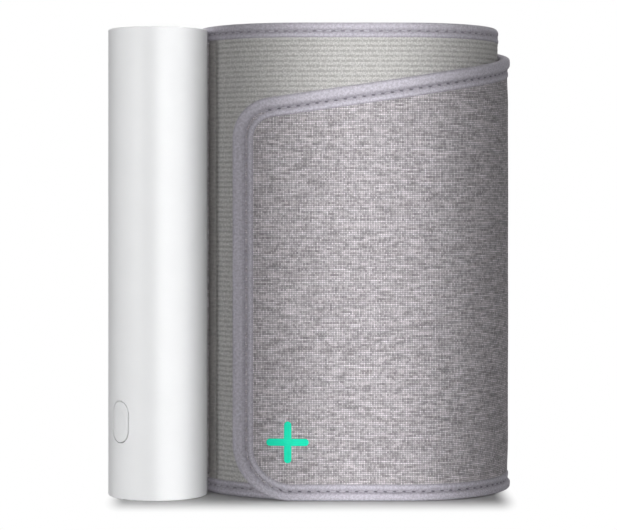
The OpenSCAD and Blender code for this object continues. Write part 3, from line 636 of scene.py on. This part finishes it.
def flap_surface(s, z, edge):
    """Height of the flap's outer cloth: it rises away from the binding and is slightly uneven."""
    rise = cushion(edge - WIDTH_FLAP + 0.8, 11.0)
    under = 1 - cushion(edge - 3.9, 1.0)
    return HALF - PRESSED * under + 0.30 * rise + 0.10 * rise * ripple(s, z, 60, 3) \
        + 0.012 * ripple(s, z, 7, 8)


s, z, edge = flap_grid(150, 118, 1.2)
flap_cover = cloth("flap_cover", s, z, flap_surface(s, z, edge), COVER_BACK, heather_cloth,
                   replaces=("flap_fabric",), slot="heather_fabric")
s, z, edge = flap_grid(110, 80, 1.2)
flap_underside = cloth("flap_underside", s, z, LINING_BACK, -HALF - 0.06 * cushion(edge - 6, 10.0),
                       grey_lining, replaces=("flap_lining",), slot="lining_fabric")


def roll_grid(start, end, columns, rows, inset=0.9):
    """Arc lengths and heights over a run of the roll, from just inside its bottom edge to its top edge."""
    return np.broadcast_arrays(share(columns, start, end)[:, None],
                               share(rows, inset, CUFF_H - inset)[None, :])


def edge_of(z):
    """Distance to the nearer of the bottom and top edges."""
    return np.minimum(z, CUFF_H - z)


def roll_base(z):
    """Height of the roll's outer cloth over its middle: pressed down under the binding."""
    return HALF - PRESSED * (1 - cushion(edge_of(z) - 3.4, 0.9))


s, z = roll_grid(S_SPLIT, S_FABRIC_END, 80, 70)
rise = cushion(edge_of(z) - WIDTH_FLAP + 0.8, 11.0) * cushion(S_FABRIC_END - 6 - s, 30.0)
roll_cover = cloth("roll_cover", s, z, roll_base(z) + 0.25 * rise + 0.10 * rise * ripple(s, z, 60, 3)
                   + 0.012 * ripple(s, z, 7, 8), COVER_BACK, heather_cloth, body="monitor",
                   replaces=("shell_fabric",), slot="heather_fabric")
s, z = roll_grid(S_FABRIC_END + 0.12, S_LOOP + 0.03, 12, 60)
crown = np.sin(math.pi * (s - s.min()) / np.ptp(s)) ** 0.5
seam_strip = cloth("seam_strip", s, z, roll_base(z) + 0.12 * crown, COVER_BACK, seam_cloth_and_shade, body="monitor",
                   replaces=("side_tape",), slot="side_tape")

columns = np.concatenate([np.arange(S_LOOP + 0.05, S_LOOP + 70, 1.6),
                          np.arange(S_LOOP + 71, S_END - 0.9, 3.9)])
s, z = np.broadcast_arrays(columns[:, None], np.arange(0.9, CUFF_H - 0.9, RIB / 6)[None, :])
ribs = 0.5 - 0.5 * np.cos(2 * math.pi * z / RIB)
nap = ripple(s, z, 2.4, 5)
loop_surface = HALF - 0.24 + 0.22 * cushion(edge_of(z) - 3.2, 0.9) + (0.10 * ribs + 0.045 * nap) \
    * cushion(edge_of(z) - 3.5, 2.0) * cushion(s - S_LOOP + 0.4, 0.9)
loop_face = cloth("loop_face", s, z, loop_surface, COVER_BACK, rib_pile, body="monitor",
                  replaces=("loop_panel",), slot="loop_pile")
s, z = roll_grid(S_SPLIT, S_END - 0.9, 190, 60)
swell = 0.05 * cushion(edge_of(z) - 5, 10.0) * (1 + ripple(s, z, 40, 6))
roll_lining = cloth("roll_lining", s, z, LINING_BACK, -HALF - swell, grey_lining, body="monitor",
                    replaces=("outer_lining", "inner_lining"), slot="lining_fabric")

# ---- binding tape and its stitches ----


def smooth_curve(points, steps):
    """A curve through the points whose direction at each is set by its two neighbours."""
    points = np.asarray(points, float)
    padded = np.concatenate([2 * points[:1] - points[1:2], points, 2 * points[-1:] - points[-2:-1]])
    t = np.arange(steps)[None, :, None] / steps
    a, b, c, d = (padded[k:len(padded) - 3 + k][:, None, :] for k in range(4))
    curve = 0.5 * (2 * b + (c - a) * t + (2 * a - 5 * b + 4 * c - d) * t ** 2
                   + (3 * b - a - 3 * c + d) * t ** 3)
    return np.concatenate([curve.reshape(-1, points.shape[1]), points[-1:]])


def tape_profile(width, groove, front, back, soft=0.0):
    """The tape's section as distance from the edge and height: lip, groove, bulge and fold, then the same
    behind, and a flat inside. The last column is the signed distance for the map."""
    half = np.array([
        (width, 0.95), (width - 0.02, 1.10), (width - 0.25, 1.24), (width - 0.8, 1.31), (groove + 0.75, 1.20),
        (groove + 0.3, 0.98), (groove, 0.88), (groove - 0.3, 0.98), (groove - 0.75, 0.55 + 0.5 * front),
        (groove - 1.3, front - 0.06), (groove * 0.5, front), (0.75, front - 0.10 - soft),
        (0.3, (0.72 - soft) * front), (0.08, (0.38 - 0.5 * soft) * front)])
    low = half[::-1].copy()
    low[:, 1] = np.minimum(low[:, 1] * (back / front), TAPE_HALF) * -1
    line = smooth_curve(np.concatenate([half, [(0.0, 0.0)], low]), 2)
    signed = line[:, 0] * np.where(line[:, 1] < 0, -1, 1)
    inside = np.array([(0.6, -0.72), (0.6, 0.72)])
    line = np.concatenate([line, inside])
    return line[:, 0], line[:, 1], np.concatenate([signed, [-0.6, 0.6]])


def even(points, spacing):
    """Points at even spacing along a polyline."""
    length = np.concatenate([[0], np.cumsum(np.linalg.norm(np.diff(points, axis=0), axis=1))])
    at = np.linspace(0, length[-1], int(length[-1] / spacing) + 1)
    return np.stack([np.interp(at, length, points[:, k]) for k in range(2)], -1)


def arc(centre, radius, start, end, count=60):
    a = np.radians(np.linspace(start, end, count))
    return np.stack([centre[0] + radius * np.cos(a), centre[1] + radius * np.sin(a)], -1)


def inward(points, side):
    """Unit vector across the edge into the strip, from the smoothed direction of the edge."""
    ahead = np.gradient(points, axis=0)
    ahead /= np.linalg.norm(ahead, axis=1)[:, None]
    return np.stack([ahead[:, 1], -ahead[:, 0]], -1) * side


def gathers(points, length):
    """How strongly the tape is gathered: the turn of the edge per millimetre, times the corners' radius."""
    ahead = np.gradient(points, axis=0)
    turn = np.abs(np.gradient(np.unwrap(np.arctan2(ahead[:, 1], ahead[:, 0])))) / np.gradient(length)
    kernel = np.hanning(9) / np.hanning(9).sum()
    return np.clip(np.convolve(turn, kernel, "same") * 14, 0, 1.2)


def sew_tape(name, edge, side, section, groove, material, shift=(0.0, 0.0), **how):
    """Carries the tape's section along an edge of the strip, and sets a row of stitches in its groove on
    both faces. The groove is moved in by the first shift on an upright edge and by the second on a bottom
    edge. The map's length runs along the groove, so the needle holes fall between the stitches."""
    d, n, signed = section
    across = inward(edge, side)
    moved = shift[0] * np.maximum(across[:, 0], 0) + shift[1] * np.maximum(across[:, 1], 0)
    seam = edge + across * (groove + moved)[:, None]
    length = np.concatenate([[0], np.cumsum(np.linalg.norm(np.diff(seam, axis=0), axis=1))])
    pucker = gathers(edge, np.maximum.accumulate(length) + np.arange(len(edge)) * 1e-6)
    reach = d[None, :] + moved[:, None] * np.minimum(d / groove, 1)[None, :]
    at = edge[:, None, :] + across[:, None, :] * reach[..., None]
    wave = np.sin(length * 2 * math.pi / 2.7 + 1.1 * np.sin(length * 0.9)) * pucker
    lift = 0.075 * wave[:, None] * np.exp(-((np.abs(signed) - groove - 0.9) / 1.1) ** 2)[None, :] \
        + 0.02 * ripple(length[:, None], signed[None, :] * 3, 9, 4)
    outside = (np.arange(len(d)) < len(d) - 2)[None, :]
    height = n[None, :] + np.sign(n)[None, :] * np.where(outside, lift, 0) * (np.abs(n) > 0.95)[None, :]
    points = place(at[..., 0], at[..., 1], height)
    uv = np.stack(np.broadcast_arrays(length[:, None], signed[None, :]), -1)
    rows, columns = points.shape[:2]
    faces = grid_faces(rows, columns, wrap=True, flip=side > 0).tolist()
    caps = [list(range(columns)), list(range((rows - 1) * columns, rows * columns))]
    faces += [caps[0][::-1], caps[1]] if side < 0 else [caps[0], caps[1][::-1]]
    tape = make_piece(name + "_tape", points, faces, material, uv=uv, slot="binding_tape", **how)

    middle = np.arange(STITCH_PITCH / 2, length[-1] - 1.0, STITCH_PITCH)
    where = np.stack([np.interp(middle, length, seam[:, k]) for k in range(2)], -1)
    step = np.stack([np.interp(middle + 0.4, length, seam[:, k]) for k in range(2)], -1)
    loops = []
    for face in (1.0, -1.0):
        low = 0.90 if face > 0 else np.interp(groove, -signed[:-2][::-1][:len(signed) // 2],
                                              -n[:-2][::-1][:len(signed) // 2])
        centre = place(where[:, 0], where[:, 1], face * low)
        ahead = place(step[:, 0], step[:, 1], face * low) - centre
        ahead /= np.linalg.norm(ahead, axis=1)[:, None]
        out = place(where[:, 0], where[:, 1], face * (low + 1)) - centre
        out /= np.linalg.norm(out, axis=1)[:, None]
        loops.append((centre, ahead, np.cross(ahead, out), out))
    centre, ahead, aside, out = (np.concatenate(part) for part in zip(*loops))
    t, a = np.meshgrid(np.array([-1, -0.8, -0.4, 0, 0.4, 0.8, 1]), np.arange(6) * math.pi / 3, indexing="ij")
    radius = 0.21 * np.sqrt(np.maximum(1 - t ** 4, 0.02))
    shape = np.stack([0.98 * t, radius * np.cos(a), radius * np.sin(a) + 0.10 - 0.16 * t ** 2], -1)
    shape = shape.reshape(-1, 3)
    points = centre[:, None] + shape[None, :, :1] * ahead[:, None] + shape[None, :, 1:2] * aside[:, None] \
        + shape[None, :, 2:] * out[:, None]
    rows, columns = t.shape
    one = grid_faces(rows, columns, wrap=True)
    lids = np.array([[5, 4, 3, 2], [5, 2, 1, 0]])
    one = np.concatenate([one, lids[:, ::-1], lids + (rows - 1) * columns])
    faces = (one[None] + np.arange(len(points))[:, None, None] * rows * columns).reshape(-1, 4)
    uv = np.broadcast_to(np.stack([shape[:, 0], shape[:, 1]], -1), (len(points), rows * columns, 2))
    stitches = make_piece(name + "_stitches", points, faces, sewing_thread, uv=np.ascontiguousarray(uv),
                          body=how.get("body"), slot="binding_tape")
    return tape, stitches


bottom = np.array([(S_SPLIT, 0.0), (float(s_of_x(LOW_C[0])), 0.0)])
low_arc = arc(LOW_C, LOW_CORNER, 270, 180)
top_arc = arc(TOP_C, TOP_CORNER, 180, 90 + math.degrees(SLOPE))
corner_arcs = [np.stack([s_of_x(part[:, 0]), part[:, 1]], -1) for part in (low_arc, top_arc)]
top_s = np.linspace(corner_arcs[1][-1, 0] + 0.3, S_SPLIT, 400)
outline = np.concatenate([bottom, corner_arcs[0][1:], corner_arcs[1],
                          np.stack([top_s, top_edge(top_s)], -1)])
flap_edge = even(outline, 1.1)
flap_edge[0, 0] = flap_edge[-1, 0] = S_SPLIT

flap_section = tape_profile(WIDTH_FLAP, GROOVE_FLAP, 1.9, 1.3)
flap_tape, flap_stitches = sew_tape(
    "flap", flap_edge, 1, flap_section, GROOVE_FLAP, flap_binding_cloth, (0.75, -1.0),
    replaces=("flap_binding", "ramp_binding"))

end_radius = 3.0
ring = np.concatenate([
    [(S_SPLIT, 0.0)], arc((S_END - end_radius, end_radius), end_radius, -90, 0, 12),
    arc((S_END - end_radius, CUFF_H - end_radius), end_radius, 0, 90, 12), [(S_SPLIT, CUFF_H)]])
roll_edge = even(ring, 1.1)
roll_section = tape_profile(WIDTH_ROLL, GROOVE_ROLL, 1.3, 1.3, 0.15)
roll_tape, roll_stitches = sew_tape(
    "roll", roll_edge, -1, roll_section, GROOVE_ROLL, roll_binding_cloth, body="monitor",
    replaces=("top_binding", "bottom_binding", "end_binding"))

# ---- hook patch and plus sign ----

margin = 12.0
s_low, s_high = float(s_of_x(46.3)), float(s_of_x(76.85))
s = np.broadcast_to(share(44, s_low, s_high)[:, None], (44, 120))
z = margin + share(120)[None, :] * (top_edge(s) - 2 * margin)
near = np.minimum(np.minimum(s - s_low, s_high - s), np.minimum(z - margin, top_edge(s) - margin - z))
hook_face = cloth("hook_face", s, z, -HALF - 0.02, -HALF - 0.45 - 0.3 * cushion(near, 0.8), hook_cloth,
                  replaces=("hook_patch",), slot="hook_tape")


def plus_outline(inset, per_arm=18):
    """A plus sign with round arm ends, its edge moved in by the inset."""
    half = PLUS_ARM / 2 - inset
    reach = (PLUS_SPAN - PLUS_ARM) / 2
    arm = np.concatenate([[(half + (reach - half) * k / 4, -half) for k in range(4)],
                          arc((reach, 0), half, -90, 90, per_arm),
                          [(half + (reach - half) * (3 - k) / 4, half) for k in range(3)]])
    turns = [np.array([(c, -d), (d, c)]) for c, d in ((1, 0), (0, 1), (-1, 0), (0, -1))]
    return np.concatenate([arm @ turn.T for turn in turns])


# The print's section: how far its edge is moved in, and its height over the cloth.
levels = [(0.0, -0.25), (0.0, 0.20), (0.03, 0.29), (0.10, 0.34), (0.25, 0.36), (0.7, 0.37),
          (PLUS_ARM / 2 - 0.0001, 0.375)]
rings = np.stack([plus_outline(inset) for inset, _ in levels])
s = s_of_x(PLUS_X + rings[..., 0])
z = PLUS_Z + rings[..., 1]
lift = np.array([height for _, height in levels])[:, None]
ground = flap_surface(s, z, np.minimum(z, 18.0))
points = place(s, z, ground + lift)
rows, columns = s.shape
faces = grid_faces(rows, columns, wrap=True, flip=True).tolist() + [list(range(columns))]
plus_print = make_piece("plus_print", points, faces, mint_print, "flap", np.stack([s, z], -1),
                        ("plus_badge",), "mint_print", merge=0.002)

for piece in (flap_cover, flap_underside, flap_tape, flap_stitches, hook_face):
    cross_hinge(piece)

# ---- tube and button ----


def pill_ring(radius, length, count):
    """Points round a pill whose ends have this radius and whose straight core has this length.
    The count is split between the two ends and the two sides."""
    quarter = count // 4
    side = np.linspace(-0.5, 0.5, quarter, endpoint=False) * length
    right = np.stack([np.full(quarter, radius), side], -1)
    angle = np.radians(np.linspace(0, 180, quarter, endpoint=False))
    top = np.stack([radius * np.cos(angle), length / 2 + radius * np.sin(angle)], -1)
    left = np.stack([np.full(quarter, -radius), -side], -1)
    low = np.stack([-radius * np.cos(angle), -length / 2 - radius * np.sin(angle)], -1)
    return np.concatenate([right, top, left, low])


def on_tube(side, z, depth):
    """Distance round the tube from the button's middle, height and depth inwards, to space."""
    side, z, depth = np.broadcast_arrays(np.asarray(side, float), z, depth)
    a = math.radians(-90 - BUTTON_TURN) + side / TUBE_R
    radius = TUBE_R - depth
    return np.stack([radius * np.cos(a), radius * np.sin(a), z], -1)


def tube_body():
    """The tube: a surface of revolution with rounded ends and an inner wall. A window in its grid is filled
    by rings from its rectangle to the pill-shaped hole, whose rounded rim and wall join the inner wall."""
    per_side = 20
    half_w, half_h = 8.0, 12.0
    circle = 2 * math.pi * TUBE_R
    window_s = np.linspace(-half_w, half_w, per_side + 1)
    rest = np.linspace(half_w, circle - half_w, 161)[1:-1]
    side = np.concatenate([window_s, rest])
    window_z = np.linspace(BUTTON_Z - half_h, BUTTON_Z + half_h, per_side + 1)
    rim = 0.45
    a = np.radians(np.linspace(0, 90, 7))
    foot = np.stack([rim * (1 - np.sin(a)), rim * (1 - np.cos(a))], -1)
    z = np.concatenate([foot[:, 1], np.linspace(rim, window_z[0], 10)[1:-1], window_z,
                        np.linspace(window_z[-1], TUBE_H - rim, 80)[1:-1], TUBE_H - foot[::-1, 1]])
    depth = np.concatenate([foot[:, 0], np.zeros(len(z) - 14), foot[::-1, 0]])
    low = 6 + 9
    profile_z = np.concatenate([z, [TUBE_H, TUBE_H - 0.12], window_z[::-1], [0.12, 0.0]])
    profile_d = np.concatenate([depth, [TUBE_WALL - 0.12], np.full(per_side + 3, TUBE_WALL),
                                [TUBE_WALL - 0.12]])
    points = on_tube(side[:, None], profile_z[None, :], profile_d[None, :])
    rows, columns = points.shape[:2]
    whole = grid_faces(rows + 1, columns, wrap=True).reshape(rows, columns, 4) % (rows * columns)
    keep = np.ones((rows, columns), bool)
    index = np.arange(rows * columns).reshape(rows, columns)
    corners = []
    for column, turn in ((low, 1), (len(z) + 2, -1)):
        keep[:per_side, column:column + per_side] = False
        box = index[:per_side + 1, column:column + per_side + 1][:, ::turn]
        corners.append(np.concatenate([box[-1, :-1], box[:0:-1, -1], box[0, :0:-1], box[:-1, 0]]))
    frame_ring, back_ring = corners
    frame_at = np.stack([side[frame_ring // columns], profile_z[frame_ring % columns] - BUTTON_Z], -1)
    hole = pill_ring(BUTTON_W / 2 + BUTTON_GAP + 0.22, BUTTON_H - BUTTON_W, len(frame_ring))
    shift = np.argmin(np.abs(hole[:, 1] - frame_at[0, 1]) + 10 * (hole[:, 0] < 0))
    hole = np.roll(hole, -shift, axis=0)
    t = share(9)[1:, None, None] ** 0.8
    flat = frame_at[None] * (1 - t) + hole[None] * t
    patch = on_tube(flat[..., 0], flat[..., 1] + BUTTON_Z, 0.0)
    lips = []
    for drop, grow in ((0.02, 0.14), (0.08, 0.06), (0.2, 0.01), (0.4, 0.0), (1.0, 0.0), (TUBE_WALL, 0.0)):
        lip = np.roll(pill_ring(BUTTON_W / 2 + BUTTON_GAP + grow, BUTTON_H - BUTTON_W, len(frame_ring)),
                      -shift, axis=0)
        lips.append(on_tube(lip[:, 0], lip[:, 1] + BUTTON_Z, drop))
    rings = np.concatenate([patch, np.stack(lips)])
    count = rings.shape[1]
    start = rows * columns
    first = np.stack([frame_ring, np.roll(frame_ring, -1), np.roll(start + np.arange(count), -1),
                      start + np.arange(count)], -1)
    more = grid_faces(len(rings), count, wrap=True, start=start, flip=True)
    end = start + (len(rings) - 1) * count + np.arange(count)
    last = np.stack([end, np.roll(end, -1), np.roll(back_ring, -1), back_ring], -1)
    faces = np.concatenate([whole[keep], first, more, last])
    return np.concatenate([points.reshape(-1, 3), rings.reshape(-1, 3)]), faces


points, faces = tube_body()
make_piece("tube_skin", points, faces, white_satin, "monitor", None, ("tube_shell",), "white_plastic")


def button_body():
    """The button: rings from its core line to its edge on the tube's own curve, with a shallow dish, a
    rounded edge, a wall and the flange that holds it behind the tube's wall."""
    count, core = 96, BUTTON_H - BUTTON_W
    half = BUTTON_W / 2
    dish = 30.0
    radii = list(half * share(14, 0.0, 0.93)) + [half - 0.12, half - 0.05, half - 0.012, half]
    drops = [0.0] * 14 + [0.015, 0.05, 0.12, 0.25]
    rings = []
    for radius, drop in zip(radii, drops):
        flat = pill_ring(radius, core, count)
        x, z = flat[:, 0], flat[:, 1]
        hollow = 0.3 + np.sqrt(dish ** 2 - x ** 2 - z ** 2) - dish
        curve = TUBE_R - np.sqrt(TUBE_R ** 2 - x ** 2)
        depth = np.maximum(hollow - curve, 0) if drop == 0 else np.full(count, drop)
        side = TUBE_R * np.arcsin(np.clip(x / TUBE_R, -1, 1))
        rings.append(on_tube(side, z + BUTTON_Z, depth + 0.05))
    for radius, depth in ((half, 1.72), (half + 0.95, 1.75), (half + 1.0, 1.85), (half + 1.0, 3.05),
                          (half * 0.4, 3.1)):
        flat = pill_ring(radius, core, count)
        side = TUBE_R * np.arcsin(np.clip(flat[:, 0] / TUBE_R, -1, 1))
        rings.append(on_tube(side, flat[:, 1] + BUTTON_Z, depth))
    rings = np.stack(rings)
    faces = grid_faces(len(rings), count, wrap=True).tolist()
    last = (len(rings) - 1) * count
    return rings, faces + [list(range(last, last + count))]


points, faces = button_body()
make_piece("button_cap", points, faces, button_satin, "button", None, ("button",), "button_plastic",
           merge=0.002)

# ---- finishes of the CAD nodes that stay ----

NODE_FINISH = {
    white_satin: ("top_cap", "bottom_cap", "cuff_port"),
    grey_moulding: ("chassis", "pump_head", "release_valve", "air_manifold"),
    dark_moulding: ("tact_switch", "board_chips", "pressure_sensor"),
    lens_white: ("lamp_matrix", "light_guide"),
    cell_wrap: ("battery",),
    board_green: ("switch_board", "main_board", "display_board", "charging_board"),
    plain_steel: ("display_standoffs", "charging_socket", "pump_motor", "valve_plunger", "clamp_plate",
                  "cuff_screws"),
    warm_brass: ("pump_rotor",),
    dark_foam: ("battery_pad",),
    clear_hose: ("sensor_hose",),
    milky_film: ("air_bladder",),
    stiff_sheet: ("stiffener",),
}
for material, names in NODE_FINISH.items():
    for name in names:
        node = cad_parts[name]
        node = node if isinstance(node, bpy.types.Object) else bpy.data.objects[name]
        if not node.data.materials:
            node.data.materials.append(material)
        for place_in in node.material_slots:
            place_in.material = material

# ---- what the cloth is cut from ----


def flat_area(columns, rows):
    s, z, _ = flap_grid(columns, rows, 1.2)
    cell = (s[1:, 1:] - s[:-1, 1:] + s[1:, :-1] - s[:-1, :-1]) * (z[1:, 1:] - z[1:, :-1] + z[:-1, 1:]
                                                                  - z[:-1, :-1])
    return float(cell.sum() / 4) * MM * MM


AREA = round(flat_area(150, 118), 5)

# ---- floor and light ----


# The floor's near part, as the middle and the half size of a rectangle, and how it fades to white outside it:
# faster to the sides than in depth.
FLOOR_MIDDLE, FLOOR_NEAR = (49.6, 19.0), (58.0, 28.0)
FADE_SIDEWAYS, FADE_LENGTH = 4.0, 31.0
FLOOR_REACH, FLOOR_Z = 3000, -0.05
AMBIENT = 0.265


def floor_nodes(material):
    """Pale floor: lit and shaded near the object, and turning into plain white with distance for the camera,
    for mirrors and for glass."""
    net = Net(material.node_tree)
    nodes, links = net.nodes, net.links
    shader = next(n for n in nodes if n.type == "BSDF_PRINCIPLED")
    output = next(n for n in nodes if n.type == "OUTPUT_MATERIAL")
    x, y, _ = net.split(net.place())
    past_x, past_y = (net.larger(net.less(net.math("ABSOLUTE", net.less(at, middle)), near), 0.0)
                      for at, middle, near in zip((x, y), FLOOR_MIDDLE, FLOOR_NEAR))
    past_x = net.times(past_x, FADE_SIDEWAYS)
    far = net.step(net.math("SQRT", net.plus(net.times(past_x, past_x), net.times(past_y, past_y))),
                   0.0, FADE_LENGTH)
    grain = net.noise(net.place(), 0.4, 3.0)
    links.new(net.mix(grain, rgb(0.62, 0.62, 0.62), rgb(0.65, 0.65, 0.65)), shader.inputs["Base Color"])
    shader.inputs["Roughness"].default_value = 0.9
    shader.inputs["Specular IOR Level"].default_value = 0.0
    white = net.node("Emission", {"Color": rgb(1, 1, 1), "Strength": 1.0})
    join = net.node("MixShader", {0: net.times(far, net.seen_directly()), 1: shader.outputs[0], 2: white})
    links.new(join, output.inputs["Surface"])


pale_floor = bpy.data.materials.new("pale_floor")
pale_floor.use_nodes = True
floor_nodes(pale_floor)
corners = [(a * FLOOR_REACH, b * FLOOR_REACH, FLOOR_Z) for a, b in ((-1, -1), (1, -1), (1, 1), (-1, 1))]
make_piece("floor", corners, [[0, 1, 2, 3]], pale_floor)

world = bpy.data.worlds.new("studio")
world.use_nodes = True
bpy.context.scene.world = world
net = Net(world.node_tree)
ground = next(n for n in net.nodes if n.type == "BACKGROUND")
ground.inputs["Color"].default_value = rgb(1, 1, 1)
net.links.new(net.blend(net.seen_directly(), AMBIENT, 1.0), ground.inputs["Strength"])


def soft_lamp(name, at, towards, size, watts, spread=180.0):
    """A rectangular soft box at a place, facing a point, in millimetres."""
    lamp = bpy.data.lights.new(name, "AREA")
    lamp.shape, lamp.size, lamp.size_y = "RECTANGLE", size[0] * MM, size[1] * MM
    lamp.energy, lamp.spread = watts, math.radians(spread)
    holder = bpy.data.objects.new(name, lamp)
    start, end = np.array(at, float), np.array(towards, float)
    holder.location = start * MM
    way = end - start
    holder.rotation_euler = (math.atan2(math.hypot(way[0], way[1]), -way[2]), 0,
                             math.atan2(way[1], way[0]) - math.pi / 2)
    bpy.context.scene.collection.objects.link(holder)


soft_lamp("cuff_light", (66, -800, 150), (66, -14, 90), (40, 420), 0.072, 6.5)
soft_lamp("tube_light", (165, -730, 150), (4.5, 0, 90), (16, 420), 0.0168, 1.9)
soft_lamp("left_front_light", (-520, -600, 150), (2.0, -1, 90), (12, 420), 0.0118, 2.2)
soft_lamp("top_light", (60, 500, 900), (50, 40, 60), (700, 500), 2.5)
